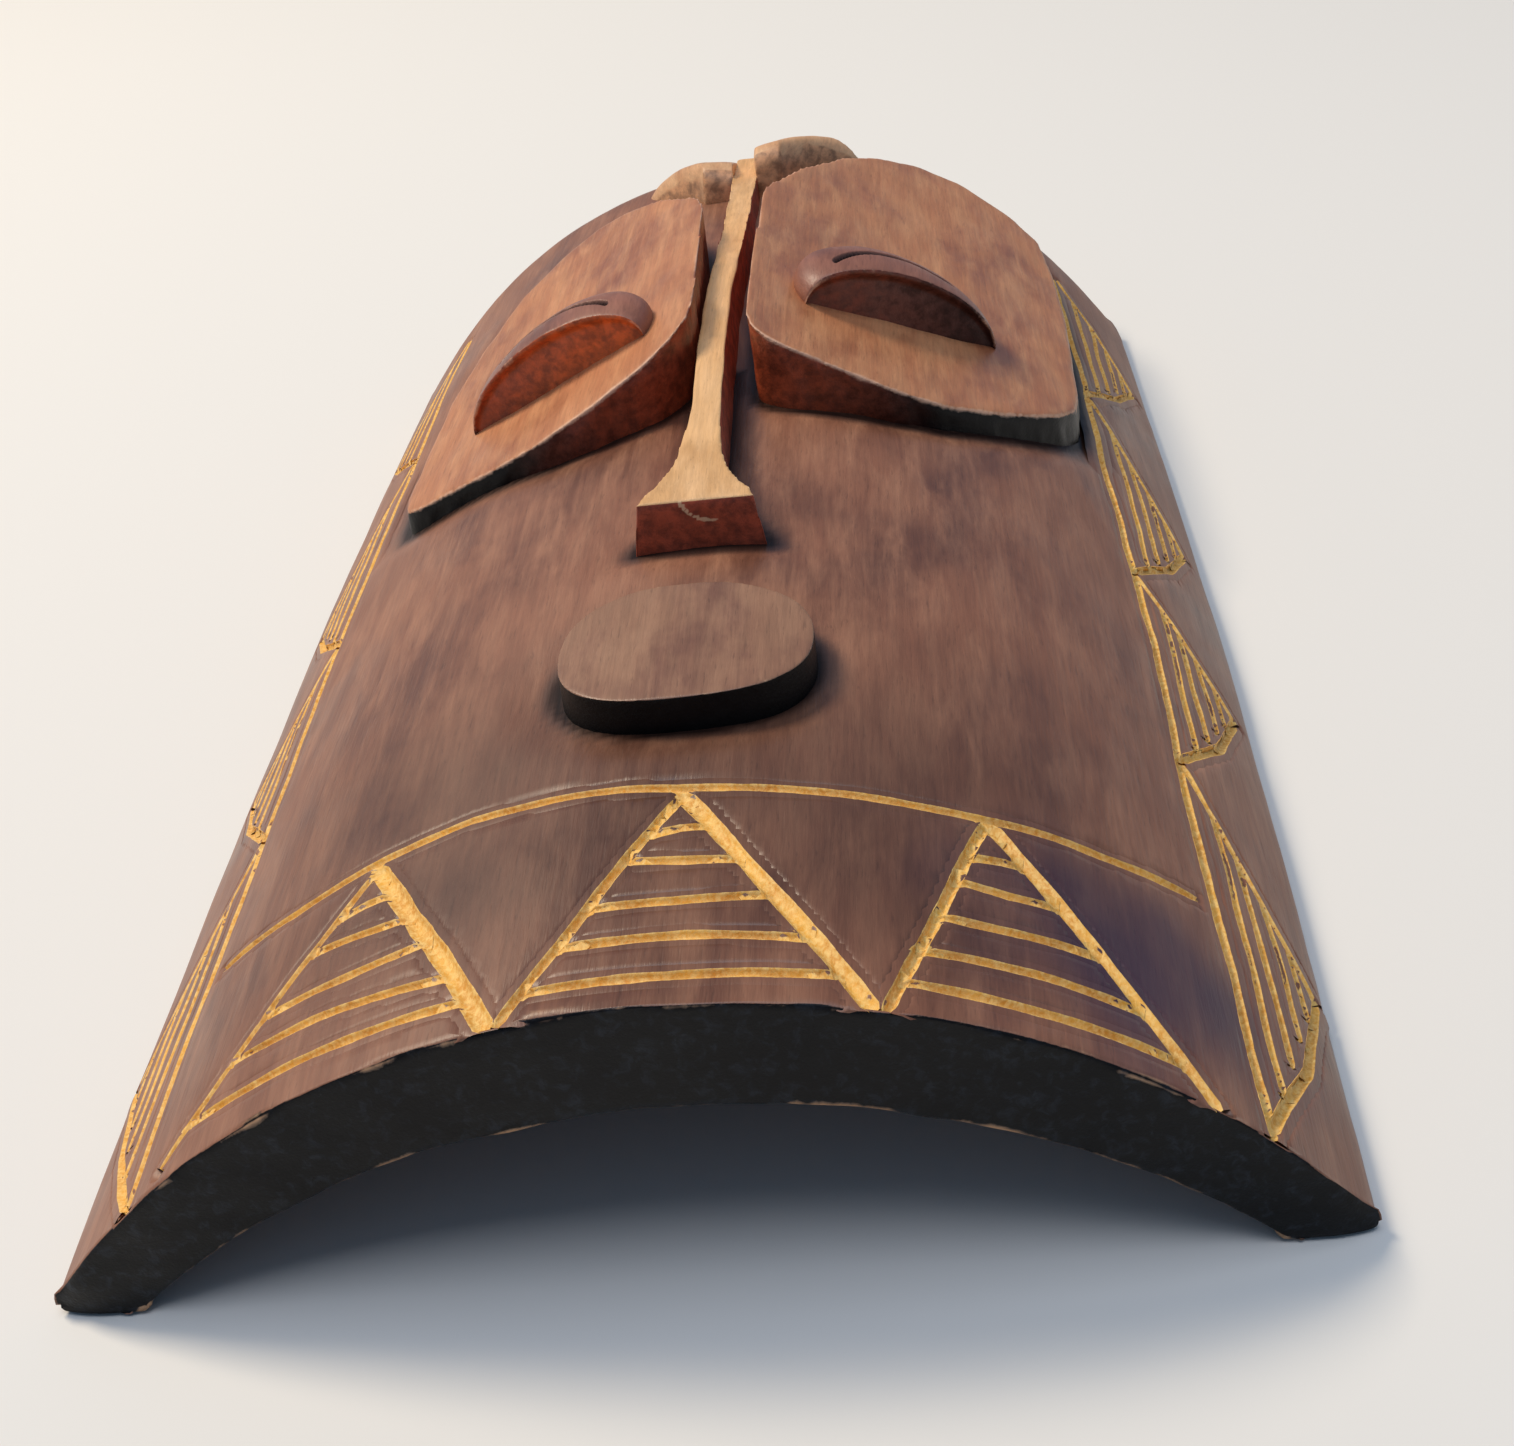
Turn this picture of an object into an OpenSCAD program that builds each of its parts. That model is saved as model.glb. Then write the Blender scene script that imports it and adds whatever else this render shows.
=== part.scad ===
// Carved wooden wall mask: a bowed, hollow-backed face with raised eye plates,
// half-closed lids, a long nose ridge, an oval mouth and gouged borders.
// It lies face up: +Z out of the face, +Y to the crown, X across, all in mm.

/* [Face] */
// Length from the chin end to the crown end
mask_len = 400; // [390:1:410]
// Radius of the rounded front, across the face
front_r = 123.5; // [122:0.5:126]
// Height of the front above the rim, at its highest
front_h = 56.5; // [55:0.5:58]
// Radius of the slow bow along the length
bow_r = 4500; // [4000:100:6000]
// Wood left above the hollow along the middle
wall = 19; // [16:0.5:21]
// Radius of the crown end, seen from the front
crown_r = 125; // [122:1:128]
// Rounding of the crown end's edge
crown_edge_r = 50; // [44:1:54]

/* [Eyes] */
// Height of the eye plates beside the nose, above the rim
plate_top = 73; // [70:0.5:76]
// Tilt of each eye plate down toward the side
plate_tilt = 27.9; // [26.5:0.1:29]
// Distance from the middle to each plate's inner edge
plate_in = 7.5; // [7:0.25:9]
// Where the plates' straight lower edge lies, from the chin
plate_low = 191; // [186:1:196]
// Width of each closed eyelid
lid_w = 50; // [44:1:54]
// How far a lid stands out of its plate
lid_h = 13; // [8:0.5:15]
// Depth of the fine slit cut in each lid
slit_d = 1.2; // [0.8:0.1:1.6]

/* [Nose and mouth] */
// Where the nose tip's flat end lies, from the chin
nose_tip = 131; // [128:1:134]
// Height of the nose ridge's flat top above the rim
nose_top = 65.5; // [63:0.5:67]
// Width of the nose ridge along its length
ridge_w = 6.6; // [5:0.2:8]
// Width of the nose at its tip
nose_w = 24; // [21:0.5:26]
// Middle of the mouth, from the chin
mouth_y = 87; // [80:1:90]
// Width of the mouth
mouth_w = 44; // [40:0.5:46]
// Length of the mouth
mouth_l = 38; // [34:0.5:40]
// How far the mouth stands out of the front
mouth_t = 5.5; // [4:0.5:8]

/* [Gouged lines] */
// Width of the ordinary gouged lines
line_w = 1.6; // [1.2:0.1:2]
// Width of the bold gouged lines
bold_w = 2.6; // [2:0.1:3]
// Depth of the gouged lines
line_d = 1.3; // [1:0.1:1.6]
// Distance of the long side lines from the middle
side_x = 83; // [82:0.5:85]
// Distance of the chin arch line from the chin end
arch_y = 50; // [48:0.5:53]

/* [Hanger] */
// Distance of the hanger's pivot from the chin end
hang_y = 322; // [316:1:328]
// Wire radius of the hanging ring
wire_r = 1.2; // [1:0.1:1.4]
// Half width of the hanging ring, at the middle of its wire
ring_r = 8; // [7.5:0.25:9]
// Width of the hanger strap
strap_w = 10; // [9:0.5:11]
// Length of the hanger strap
strap_l = 26; // [24:0.5:28]

/* [Hidden] */
$fn = 96;

bow_y = 220;                      // highest point of the bow, from the chin
crown_y = mask_len - crown_r;     // centre the crown end is turned about
crown_skirt = 12;                 // upright part of the crown end's edge
hollow_r = 126;
hollow_h = front_h - wall;
end_wall = 17;
bed_d = 0.5;                      // pale wood starts this far below the front
plate_slope = tan(plate_tilt);
top_x = 58;                       // middle of each plate's rounded top edge
top_y = 313;
top_r = 52;
arc_sweep = 5.7;
seat_d = 17.5;                    // thickness of the plates let into the face
nose_seat = 46;                   // flat underside of the nose, above the rim
crest_seat = 41;
crest_fall = 17;                  // how steeply the lobes fall toward the crown
ridge_end = 369;
tick_y = [343, 255, 162, 92, 1];  // where the side triangles begin and end
tip_y = [290, 196, 128, 46];      // outer tips of the side triangles
strap_t = 1.2;
knuckle_r = wire_r + 0.08 + strap_t;
hang_tilt = asin((hang_y - strap_l / 2 - bow_y) / bow_r);
screw_r = 1.5;
screw_l = 8;
head_r = 3.2;
head_t = 1.6;
screw_at = [-11, -20];

function bow_drop(y) = bow_r - sqrt(bow_r * bow_r - (y - bow_y) * (y - bow_y));

// ---------- shared shapes ----------

// Moves a piece from chin-end coordinates to the middle of the mask.
module placed() {
  translate([0, -mask_len / 2, 0]) children();
}

// A long bowed log: round section r, highest line at height top.
module bowed(r, top) {
  translate([0, bow_y, top - bow_r])
    rotate([0, -90, 0])
      rotate([0, 0, -arc_sweep / 2])
        rotate_extrude(angle = arc_sweep, $fn = 1800)
          translate([bow_r - r, 0]) circle(r = r, $fn = 180);
}

// The front surface, raised by up.
module front(up = 0) {
  bowed(front_r + up, front_h + up);
}

// Solid that limits the crown end; everything below crown_y passes.
module crown_limit(inset) {
  r = crown_r - inset;
  knee = crown_edge_r;
  translate([-crown_r * 2, -1, -1]) cube([crown_r * 4, crown_y + 1, 120]);
  translate([0, crown_y, -1])
    rotate_extrude() {
      square([r - knee, crown_skirt + knee + 1 - inset]);
      square([r, crown_skirt + 1 - inset]);
      intersection() {
        translate([r - knee, crown_skirt + 1 - inset]) circle(r = knee);
        square([r + 1, 120]);
      }
    }
}

// Straight stroke between two points in plan.
module stroke(a, b, w) {
  d = b - a;
  translate(a) rotate(atan2(d[1], d[0]))
    translate([-w / 4, -w / 2]) square([norm(d) + w / 2, w]);
}

// Groove left by a set of strokes: everything over the groove's floor.
module groove() {
  difference() {
    linear_extrude(90) children();
    front(-line_d);
  }
}

// Pale wood lying in the groove.
module bed() {
  intersection() {
    difference() {
      translate([0, 0, 1]) linear_extrude(80) children();
      front(-line_d);
    }
    front(-bed_d);
    translate([-150, 0, 0]) cube([300, mask_len, 90]);
  }
}

// ---------- plans of the gouged lines ----------

module arch_plan() {
  x1 = side_x - 3;
  knots = [for (i = [-5 : 5]) [x1 * i / 5, arch_y + 1.6 * cos(180 * i / 5)]];
  for (i = [0 : 9]) stroke(knots[i], knots[i + 1], line_w);
}

// A triangle standing on the chin edge, with hatching across it.
module chin_triangle_plan(apex, left, right, bold_left, bold_right) {
  rows = [0.2, 0.36, 0.54, 0.72, 0.87];
  stroke(apex, left, bold_left);
  stroke(apex, right, bold_right);
  for (t = rows)
    stroke(apex + (left - apex) * t, apex + (right - apex) * t, line_w);
}

module triangle_left_plan() {
  chin_triangle_plan([-49, arch_y - 2.5], [-76, 3], [-22.5, -2], line_w, bold_w);
}

module triangle_middle_plan() {
  chin_triangle_plan([1.5, arch_y - 2.5], [-20, -2], [30, -2], line_w, bold_w);
}

module triangle_right_plan() {
  chin_triangle_plan([48, arch_y - 3.5], [33.4, -2], [76, -2], line_w, bold_w);
}

module side_line_plan() {
  stroke([side_x, -1], [side_x, tick_y[0] + 8], line_w);
}

// Leaning triangles between the side line and the rim.
module side_triangles_plan() {
  x0 = side_x + line_w + 0.2;
  tip_x = side_x + 15.5;
  for (i = [0 : 3]) {
    apex = [x0, tick_y[i] - 2];
    tip = [tip_x, tip_y[i]];
    base = [x0, tick_y[i + 1] + 3];
    stroke(apex, tip, line_w);
    stroke(tip, base, line_w);
    for (t = [0.3, 0.52, 0.74])
      stroke(apex + (tip - apex) * t, base + (tip - base) * t, line_w * 0.8);
  }
}

// ---------- carved pieces ----------

module mask_shell() {
  color("#5b3a2c") placed() difference() {
    intersection() {
      front();
      translate([-150, 0, 0]) cube([300, mask_len, 90]);
      crown_limit(0);
    }
    intersection() {
      bowed(hollow_r, hollow_h);
      translate([-150, -5, -5]) cube([300, mask_len, 90]);
      crown_limit(end_wall);
    }
    groove() arch_plan();
    groove() triangle_left_plan();
    groove() triangle_middle_plan();
    groove() triangle_right_plan();
    for (s = [0, 1]) mirror([s, 0, 0]) {
      groove() side_line_plan();
      groove() side_triangles_plan();
    }
    for (s = [0, 1]) mirror([s, 0, 0]) plate_block();
    nose_block();
    crest_block(17, 45.5, 22);
    mirror([1, 0, 0]) crest_block(12, 41.6, 22);
    on_ceiling() for (y = screw_at)
      translate([0, y, -2]) cylinder(r = screw_r + 0.05, h = screw_l + 2);
  }
}

// Slab under a plate's sloping face, on the right.
module plate_slab() {
  translate([plate_in, 0, plate_top])
    rotate([0, plate_tilt, 0])
      translate([-60, -20, -seat_d]) cube([220, mask_len + 40, seat_d]);
}

module plate_plan(grow = 0) {
  difference() {
    intersection() {
      union() {
        translate([top_x, top_y]) circle(r = top_r + grow);
        translate([plate_in - grow, plate_low])
          square([72.5 + 2 * grow, top_y - plate_low]);
      }
      translate([plate_in - grow, 0]) square([72.5 + 2 * grow, mask_len]);
    }
    // lower edge climbs toward the outer corner
    translate([48, plate_low]) rotate(41) translate([0, -40]) square([60, 40]);
    // rounded inner corner
    difference() {
      translate([plate_in - 1, plate_low - 1]) square([9, 9]);
      translate([plate_in + 8, plate_low + 8]) circle(r = 8);
    }
  }
}

// Plate with a flat underside, let into a pocket in the face.
module plate_block() {
  intersection() {
    linear_extrude(90) plate_plan();
    plate_slab();
  }
}

module eye_plate() { color("#7a4b3e") placed() plate_block(); }

module eye_plate_right() { eye_plate(); }
module eye_plate_left() { mirror([1, 0, 0]) eye_plate(); }

// A half dome with its flat cut facing the chin, standing on the plate at
// (x, y) and turned by turn, with a fine curved slit across its top.
module eyelid(x, y, turn) {
  dome_r = (lid_w * lid_w / 4 + lid_h * lid_h) / (2 * lid_h);
  slit_r = 32;
  color("#80503f") placed()
    translate([x, y, plate_top - (x - plate_in) * plate_slope])
      rotate([0, plate_tilt, 0]) rotate([0, 0, turn])
        difference() {
          intersection() {
            translate([0, 0, lid_h - dome_r]) sphere(r = dome_r);
            translate([-lid_w, 0, 0]) cube([2 * lid_w, lid_w, lid_h + 1]);
          }
          difference() {
            intersection() {
              translate([0, 9.5 - slit_r, 0]) difference() {
                cylinder(r = slit_r, h = lid_h + 1);
                cylinder(r = slit_r - 0.8, h = lid_h + 1);
              }
              translate([-15, 0, 0]) cube([30, lid_w, lid_h + 1]);
            }
            translate([0, 0, lid_h - dome_r]) sphere(r = dome_r - slit_d);
          }
        }
}

module eyelid_right() { eyelid(40.5, 231, 20); }
module eyelid_left() { mirror([1, 0, 0]) eyelid(37, 215, 11); }

module nose_plan() {
  translate([-ridge_w / 2, nose_tip]) square([ridge_w, ridge_end - nose_tip]);
  flare = (nose_w - ridge_w) / 2;
  difference() {
    translate([-nose_w / 2, nose_tip]) square([nose_w, 6 + flare * 1.8]);
    for (s = [-1, 1])
      translate([s * (ridge_w / 2 + flare * 1.8), nose_tip + 5 + flare * 1.8])
        circle(r = flare * 1.8);
  }
}

module nose_block() {
  translate([0, 0, nose_seat]) linear_extrude(nose_top - nose_seat) nose_plan();
}

module nose_ridge() { color("#c79a63") placed() nose_block(); }

// Oval with slightly pointed ends, standing on the front.
module mouth_plate() {
  lip_r = 32;
  color("#6b4436") placed() difference() {
    intersection() {
      translate([0, mouth_y, 0]) linear_extrude(90) intersection() {
        circle(r = mouth_w / 2);
        translate([0, mouth_l / 2 - lip_r]) circle(r = lip_r);
        translate([0, lip_r - mouth_l / 2]) circle(r = lip_r);
      }
      front(mouth_t);
    }
    front();
  }
}

// One lobe of the crest over the brow, on the right of the ridge: a round
// back of radius r about (x, z) at its front, falling toward the crown, let
// into the face with a flat underside.
module crest_block(x, z, r) {
  difference() {
    intersection() {
      translate([x, 335, z + 10 * tan(crest_fall)])
        rotate([-90 - crest_fall, 0, 0]) cylinder(r = r, h = 45);
      translate([ridge_w / 2 + 0.1, 340, crest_seat]) cube([60, 40, 60]);
      translate([0, 286, 0]) cylinder(r = 86, h = 90);
    }
    translate([0, 0, 1]) linear_extrude(90) plate_plan(3);
  }
}

module crest_right() {
  color("#8a6a48") placed() crest_block(17, 45.5, 22);
}
module crest_left() {
  color("#8a6a48") placed() mirror([1, 0, 0]) crest_block(12, 41.6, 22);
}

// ---------- gouged lines ----------

module chin_arch_line() { color("#d9ae62") placed() bed() arch_plan(); }
module chin_triangle_left() {
  color("#d9ae62") placed() bed() triangle_left_plan();
}
module chin_triangle_middle() {
  color("#d9ae62") placed() bed() triangle_middle_plan();
}
module chin_triangle_right() {
  color("#d9ae62") placed() bed() triangle_right_plan();
}
module side_line_right() { color("#d9ae62") placed() bed() side_line_plan(); }
module side_line_left() { mirror([1, 0, 0]) side_line_right(); }
module side_triangles_right() {
  color("#d9ae62") placed() bed() side_triangles_plan();
}
module side_triangles_left() { mirror([1, 0, 0]) side_triangles_right(); }

// ---------- hanger on the hidden side ----------

// Frame of the hanger: flat against the hollow's ceiling at the knuckle.
module on_ceiling() {
  translate([0, hang_y, hollow_h - bow_drop(hang_y) - 0.15])
    rotate([-hang_tilt, 0, 0]) children();
}

module hanger_strap() {
  color("#b9b4a8") placed() on_ceiling() difference() {
    union() {
      translate([-strap_w / 2, -strap_l, -strap_t])
        cube([strap_w, strap_l, strap_t]);
      translate([-strap_w / 2, 0, -knuckle_r])
        rotate([0, 90, 0]) cylinder(r = knuckle_r, h = strap_w);
    }
    translate([-strap_w, 0, -knuckle_r])
      rotate([0, 90, 0]) cylinder(r = wire_r + 0.08, h = 2 * strap_w);
    for (y = screw_at)
      translate([0, y, -3]) cylinder(r = screw_r + 0.05, h = 4);
  }
}

// Ring of round wire with a straight bar held in the strap's knuckle.
module hanger_ring() {
  leg = 3;
  color("#b9b4a8") placed() on_ceiling() translate([0, 0, -knuckle_r])
  rotate([hang_tilt, 0, 0]) {
    translate([-ring_r, 0, 0]) rotate([0, 90, 0])
      cylinder(r = wire_r, h = 2 * ring_r);
    for (s = [-1, 1]) translate([s * ring_r, 0, 0]) {
      sphere(r = wire_r);
      translate([0, 0, -leg]) cylinder(r = wire_r, h = leg);
    }
    translate([0, 0, -leg]) rotate([90, 0, 0]) rotate([0, 0, 180])
      rotate_extrude(angle = 180) translate([ring_r, 0]) circle(r = wire_r);
  }
}

module hanger_screws() {
  color("#c9b06a") placed() on_ceiling() for (y = screw_at) {
    translate([0, y, -strap_t - head_t]) cylinder(r = head_r, h = head_t);
    translate([0, y, -strap_t - 0.2]) cylinder(r = screw_r, h = screw_l - 0.5);
  }
}

mask_shell();
eye_plate_left();
eye_plate_right();
eyelid_left();
eyelid_right();
nose_ridge();
mouth_plate();
crest_left();
crest_right();
chin_arch_line();
chin_triangle_left();
chin_triangle_middle();
chin_triangle_right();
side_line_left();
side_line_right();
side_triangles_left();
side_triangles_right();
hanger_strap();
hanger_ring();
hanger_screws();
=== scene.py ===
"""Carved wooden wall mask: the finished look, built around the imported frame."""

import logging
import math
from dataclasses import dataclass, field
from enum import Enum
from typing import Callable, Iterable, Sequence

import bmesh
import bpy
from mathutils import Matrix, Vector, noise
from mathutils.kdtree import KDTree


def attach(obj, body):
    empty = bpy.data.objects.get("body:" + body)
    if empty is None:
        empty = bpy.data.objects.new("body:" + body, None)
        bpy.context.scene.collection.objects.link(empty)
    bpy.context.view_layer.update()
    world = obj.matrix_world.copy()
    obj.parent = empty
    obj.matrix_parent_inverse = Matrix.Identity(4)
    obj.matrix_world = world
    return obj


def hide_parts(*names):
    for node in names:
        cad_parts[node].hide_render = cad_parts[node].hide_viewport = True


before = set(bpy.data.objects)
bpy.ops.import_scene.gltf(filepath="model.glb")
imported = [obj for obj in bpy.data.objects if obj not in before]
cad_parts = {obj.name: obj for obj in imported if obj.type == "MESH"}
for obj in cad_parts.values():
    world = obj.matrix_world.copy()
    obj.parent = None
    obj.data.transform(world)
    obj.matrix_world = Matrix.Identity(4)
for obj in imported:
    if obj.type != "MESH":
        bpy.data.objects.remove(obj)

LOG = logging.getLogger("mask")
MM = 0.001
MASK_LENGTH = 400.0
Point = tuple[float, float]


class Body(Enum):
    """Rigid bodies that pieces ride on."""

    MASK = "mask"


class Slot(Enum):
    """Finishes that a piece can be swapped to."""

    STAINED = "stained_wood"
    PLATE = "plate_wood"
    PALE = "pale_wood"
    CREST = "crest_wood"
    GOUGED = "gouged_wood"


# ---------- small helpers ----------


def smoothstep(low: float, high: float, value: float) -> float:
    """Eases a value from 0 to 1 between two limits.

    Args:
        low: Where the result leaves 0.
        high: Where the result reaches 1.
        value: The value to ease.

    Returns:
        The eased value, from 0 to 1.
    """
    t = min(max((value - low) / (high - low), 0.0), 1.0)
    return t * t * (3.0 - 2.0 * t)


def place(x: float, y: float, z: float) -> Vector:
    """Turns millimetres from the chin end into metres in the frame.

    Args:
        x: Distance across the face.
        y: Distance from the chin end.
        z: Height above the rim.

    Returns:
        The point in the shared frame.
    """
    return Vector((x * MM, (y - MASK_LENGTH / 2) * MM, z * MM))


def side_name(side: int) -> str:
    """Gives the name of a side, from 1 for the right and -1 for the left."""
    return "right" if side > 0 else "left"


def rough(co: Vector, scale: Sequence[float], seed: float) -> float:
    """Gives smooth unevenness at a point.

    Args:
        co: The point, in millimetres.
        scale: Size of one lump along each axis, in millimetres.
        seed: Shift that sets one pattern apart from another.

    Returns:
        A value of about -1 to 1.
    """
    p = Vector((co.x / scale[0] + seed, co.y / scale[1] - seed, co.z / scale[2] + 2.0 * seed))
    return noise.noise(p)


def polyline(points: Sequence[Vector], step: float) -> list[Vector]:
    """Walks along a chain of points at an even step.

    Args:
        points: The corners of the chain.
        step: The spacing wanted, in the units of the points.

    Returns:
        Points along the chain, with both ends kept.
    """
    walked = [points[0].copy()]
    for a, b in zip(points, points[1:]):
        count = max(1, round((b - a).length / step))
        walked += [a.lerp(b, (i + 1) / count) for i in range(count)]
    return walked


# ---------- form of the face ----------


@dataclass(frozen=True)
class FaceForm:
    """Sizes and surfaces of the bowed shell, in millimetres from the chin end."""

    front_r: float = 123.5
    front_h: float = 56.5
    bow_r: float = 4500.0
    bow_y: float = 220.0
    hollow_r: float = 126.0
    hollow_h: float = 37.5
    crown_r: float = 125.0
    crown_y: float = 275.0
    crown_edge: float = 50.0
    crown_skirt: float = 12.0
    end_wall: float = 17.0

    def barrel(self, x: float, y: float, r: float, top: float) -> float:
        """Gives the height of a bowed log's surface.

        Args:
            x: Distance across the face.
            y: Distance from the chin end.
            r: Radius of the log's round section.
            top: Height of its highest line.

        Returns:
            The height above the rim.
        """
        reach = self.bow_r - r + math.sqrt(max(r * r - x * x, 0.0))
        return top - self.bow_r + math.sqrt(reach * reach - (y - self.bow_y) ** 2)

    def front(self, x: float, y: float) -> float:
        """Gives the height of the face's front at (x, y)."""
        return self.barrel(x, y, self.front_r, self.front_h)

    def rim_x(self, y: float, r: float, top: float) -> float:
        """Gives how far out a log's surface meets the rim plane at y.

        Args:
            y: Distance from the chin end.
            r: Radius of the log's round section.
            top: Height of its highest line.

        Returns:
            The distance from the middle.
        """
        low, high = 40.0, r - 0.01
        for _ in range(40):
            mid = (low + high) / 2
            if self.barrel(mid, y, r, top) > 0:
                low = mid
            else:
                high = mid
        return low

    def column(self, u: float, inner: bool) -> list[Vector]:
        """Traces one line of a surface from the chin end to the crown's foot.

        Args:
            u: Place across the face, from -1 at one rim to 1 at the other.
            inner: Whether the hollow's surface is meant.

        Returns:
            Points along the line, in millimetres from the chin end.
        """
        r = self.hollow_r if inner else self.front_r
        top = self.hollow_h if inner else self.front_h
        inset = self.end_wall if inner else 0.0
        end_r = self.crown_r - inset
        knee_r = end_r - self.crown_edge
        knee_z = self.crown_skirt - inset
        line: list[Vector] = []
        y = 0.0
        x = 0.0
        while True:
            edge = math.asin(self.rim_x(y, r, top) / r)
            x = r * math.sin(u * edge)
            z = max(self.barrel(x, y, r, top), 0.0)
            line.append(Vector((x, y, z)))
            ahead = math.hypot(x, max(y - self.crown_y, 0.0))
            over = max(ahead - knee_r, 0.0)
            limit = knee_z + math.sqrt(max(self.crown_edge**2 - over * over, 0.0))
            if y > self.crown_y and (ahead >= end_r - 0.5 or limit <= z):
                break
            y += 1.0
        start = line[-1]
        for i in range(1, 41):
            z = start.z * (1 - i / 40)
            lift = z - knee_z
            if lift > 0:
                out = knee_r + math.sqrt(max(self.crown_edge**2 - lift * lift, 0.0))
            else:
                out = end_r
            y_end = self.crown_y + math.sqrt(max(out * out - x * x, 0.0))
            line.append(Vector((x, max(y_end, start.y), z)))
        return line

    def normal(self, x: float, y: float) -> Vector:
        """Gives the outward direction of the front at (x, y).

        Args:
            x: Distance across the face.
            y: Distance from the chin end.

        Returns:
            A unit vector.
        """
        h = 0.5
        dx = (self.front(x + h, y) - self.front(x - h, y)) / (2 * h)
        dy = (self.front(x, y + h) - self.front(x, y - h)) / (2 * h)
        return Vector((-dx, -dy, 1.0)).normalized()

    def worked(self, co: Vector) -> float:
        """Gives how far hand tools left the front under its true form.

        Args:
            co: The point on the front, in millimetres.

        Returns:
            The distance to move inward, never negative.
        """
        broad = rough(co, (34.0, 62.0, 34.0), 3.1)
        flats = rough(co, (13.0, 30.0, 13.0), 8.7)
        fine = rough(co, (5.0, 14.0, 5.0), 1.9)
        return max(0.0, 0.42 + 0.34 * broad + 0.2 * flats + 0.06 * fine)


FORM = FaceForm()


def on_front(x: float, y: float, lift: float = 0.0) -> Vector:
    """Gives a point on the worked front.

    Args:
        x: Distance across the face, in millimetres.
        y: Distance from the chin end, in millimetres.
        lift: Distance out from the surface, in millimetres.

    Returns:
        The point, in millimetres from the chin end.
    """
    co = Vector((x, y, FORM.front(x, y)))
    return co + FORM.normal(x, y) * (lift - FORM.worked(co))


RIGHT_PLATE: tuple[Point, ...] = (
    (7.4, 203.0), (8.6, 197.5), (12.0, 194.2), (17.0, 193.0), (27.0, 192.2), (37.0, 191.6), (47.0, 193.0),
    (57.0, 198.6), (67.0, 206.4), (73.5, 212.6), (77.6, 220.0), (79.2, 231.0), (79.8, 250.0),
    (80.8, 284.0), (80.4, 312.0), (78.6, 338.0), (73.0, 350.5), (60.0, 364.0), (47.0, 366.0),
    (36.0, 358.5), (27.0, 346.0), (17.0, 322.0), (10.4, 301.0), (8.6, 294.0), (8.0, 284.0), (7.4, 240.0))
LEFT_PLATE: tuple[Point, ...] = (
    (-3.9, 216.0), (-4.7, 206.0), (-8.0, 198.0), (-13.5, 192.0), (-24.0, 187.0), (-36.0, 184.6),
    (-49.0, 187.6), (-62.0, 192.0), (-69.0, 194.6), (-72.4, 197.6), (-73.6, 204.0), (-73.4, 228.0),
    (-72.2, 260.0), (-68.0, 287.0), (-60.0, 314.0), (-50.0, 327.0), (-39.0, 333.0), (-30.0, 329.0),
    (-20.0, 318.0), (-11.0, 302.0), (-7.4, 294.0), (-5.6, 284.0), (-4.6, 250.0))


def outline_gap(x: float, y: float, outline: Sequence[Point]) -> float:
    """Gives the distance from a plan point to a closed outline.

    Args:
        x: Distance across the face.
        y: Distance from the chin end.
        outline: Plan corners of the closed outline.

    Returns:
        The distance to the nearest edge.
    """
    best = 1e9
    for (ax, ay), (bx, by) in zip(outline, outline[1:] + outline[:1]):
        dx, dy = bx - ax, by - ay
        t = min(max(((x - ax) * dx + (y - ay) * dy) / (dx * dx + dy * dy), 0.0), 1.0)
        best = min(best, math.hypot(x - ax - t * dx, y - ay - t * dy))
    return best


def relief_gap(co: Vector) -> float:
    """Gives the distance from a point on the front to the nearest raised part.

    Args:
        co: The point, in millimetres from the chin end.

    Returns:
        The distance, or a large one far from every part.
    """
    gaps = [20.0]
    if 165.0 < co.y < 375.0:
        gaps.append(outline_gap(co.x, co.y, RIGHT_PLATE if co.x > 0 else LEFT_PLATE))
    if 120.0 < co.y < 215.0 and abs(co.x) < 30.0:
        half = 3.4 + 9.0 * (1.0 - smoothstep(131.0, 148.0, co.y))
        gaps.append(math.hypot(max(abs(co.x) - half, 0.0), max(131.0 - co.y, 0.0)))
    if 55.0 < co.y < 120.0 and abs(co.x) < 40.0:
        gaps.append(abs(math.hypot((co.x + 0.5) / 22.0, (co.y - 87.0) / 19.0) - 1.0) * 20.0)
    return min(gaps)


def cool_at(co: Vector) -> float:
    """Gives how strongly the cool tint shows near the chin's right corner.

    Args:
        co: The point, in millimetres from the chin end.

    Returns:
        A strength from 0 to 0.8.
    """
    far = math.hypot((co.x - 64.0) / 27.0, (co.y - 26.0) / 27.0)
    return 0.8 * (1.0 - smoothstep(0.15, 1.2, far + 0.3 * rough(co, (14.0, 14.0, 14.0), 0.7)))


def painted_shade_and_darkening_at(co: Vector) -> float:
    """Gives how dark the front is painted: dark wax with painted shade in the corners beside the raised
    parts, and a darkening over the chin.

    Args:
        co: The point, in millimetres from the chin end.

    Returns:
        A strength from 0 to 1.
    """
    # painted shade in the corners beside the plates, nose and mouth, together with dark wax
    corner = 1.0 - smoothstep(0.4, 5.5, relief_gap(co))
    cloud = 0.3 * rough(co, (26.0, 20.0, 26.0), 4.9)
    # a darkening over the middle of the chin
    across = 1.0 - smoothstep(30.0, 95.0, abs(co.x + 4.0))
    chin = 0.5 * across * (1.0 - smoothstep(55.0, 125.0, co.y)) * smoothstep(0.0, 70.0, co.y + 25.0)
    return min(max(corner, chin * (1.0 + cloud) + 0.12 * max(cloud, 0.0)), 1.0)


# ---------- gouged lines ----------


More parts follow.
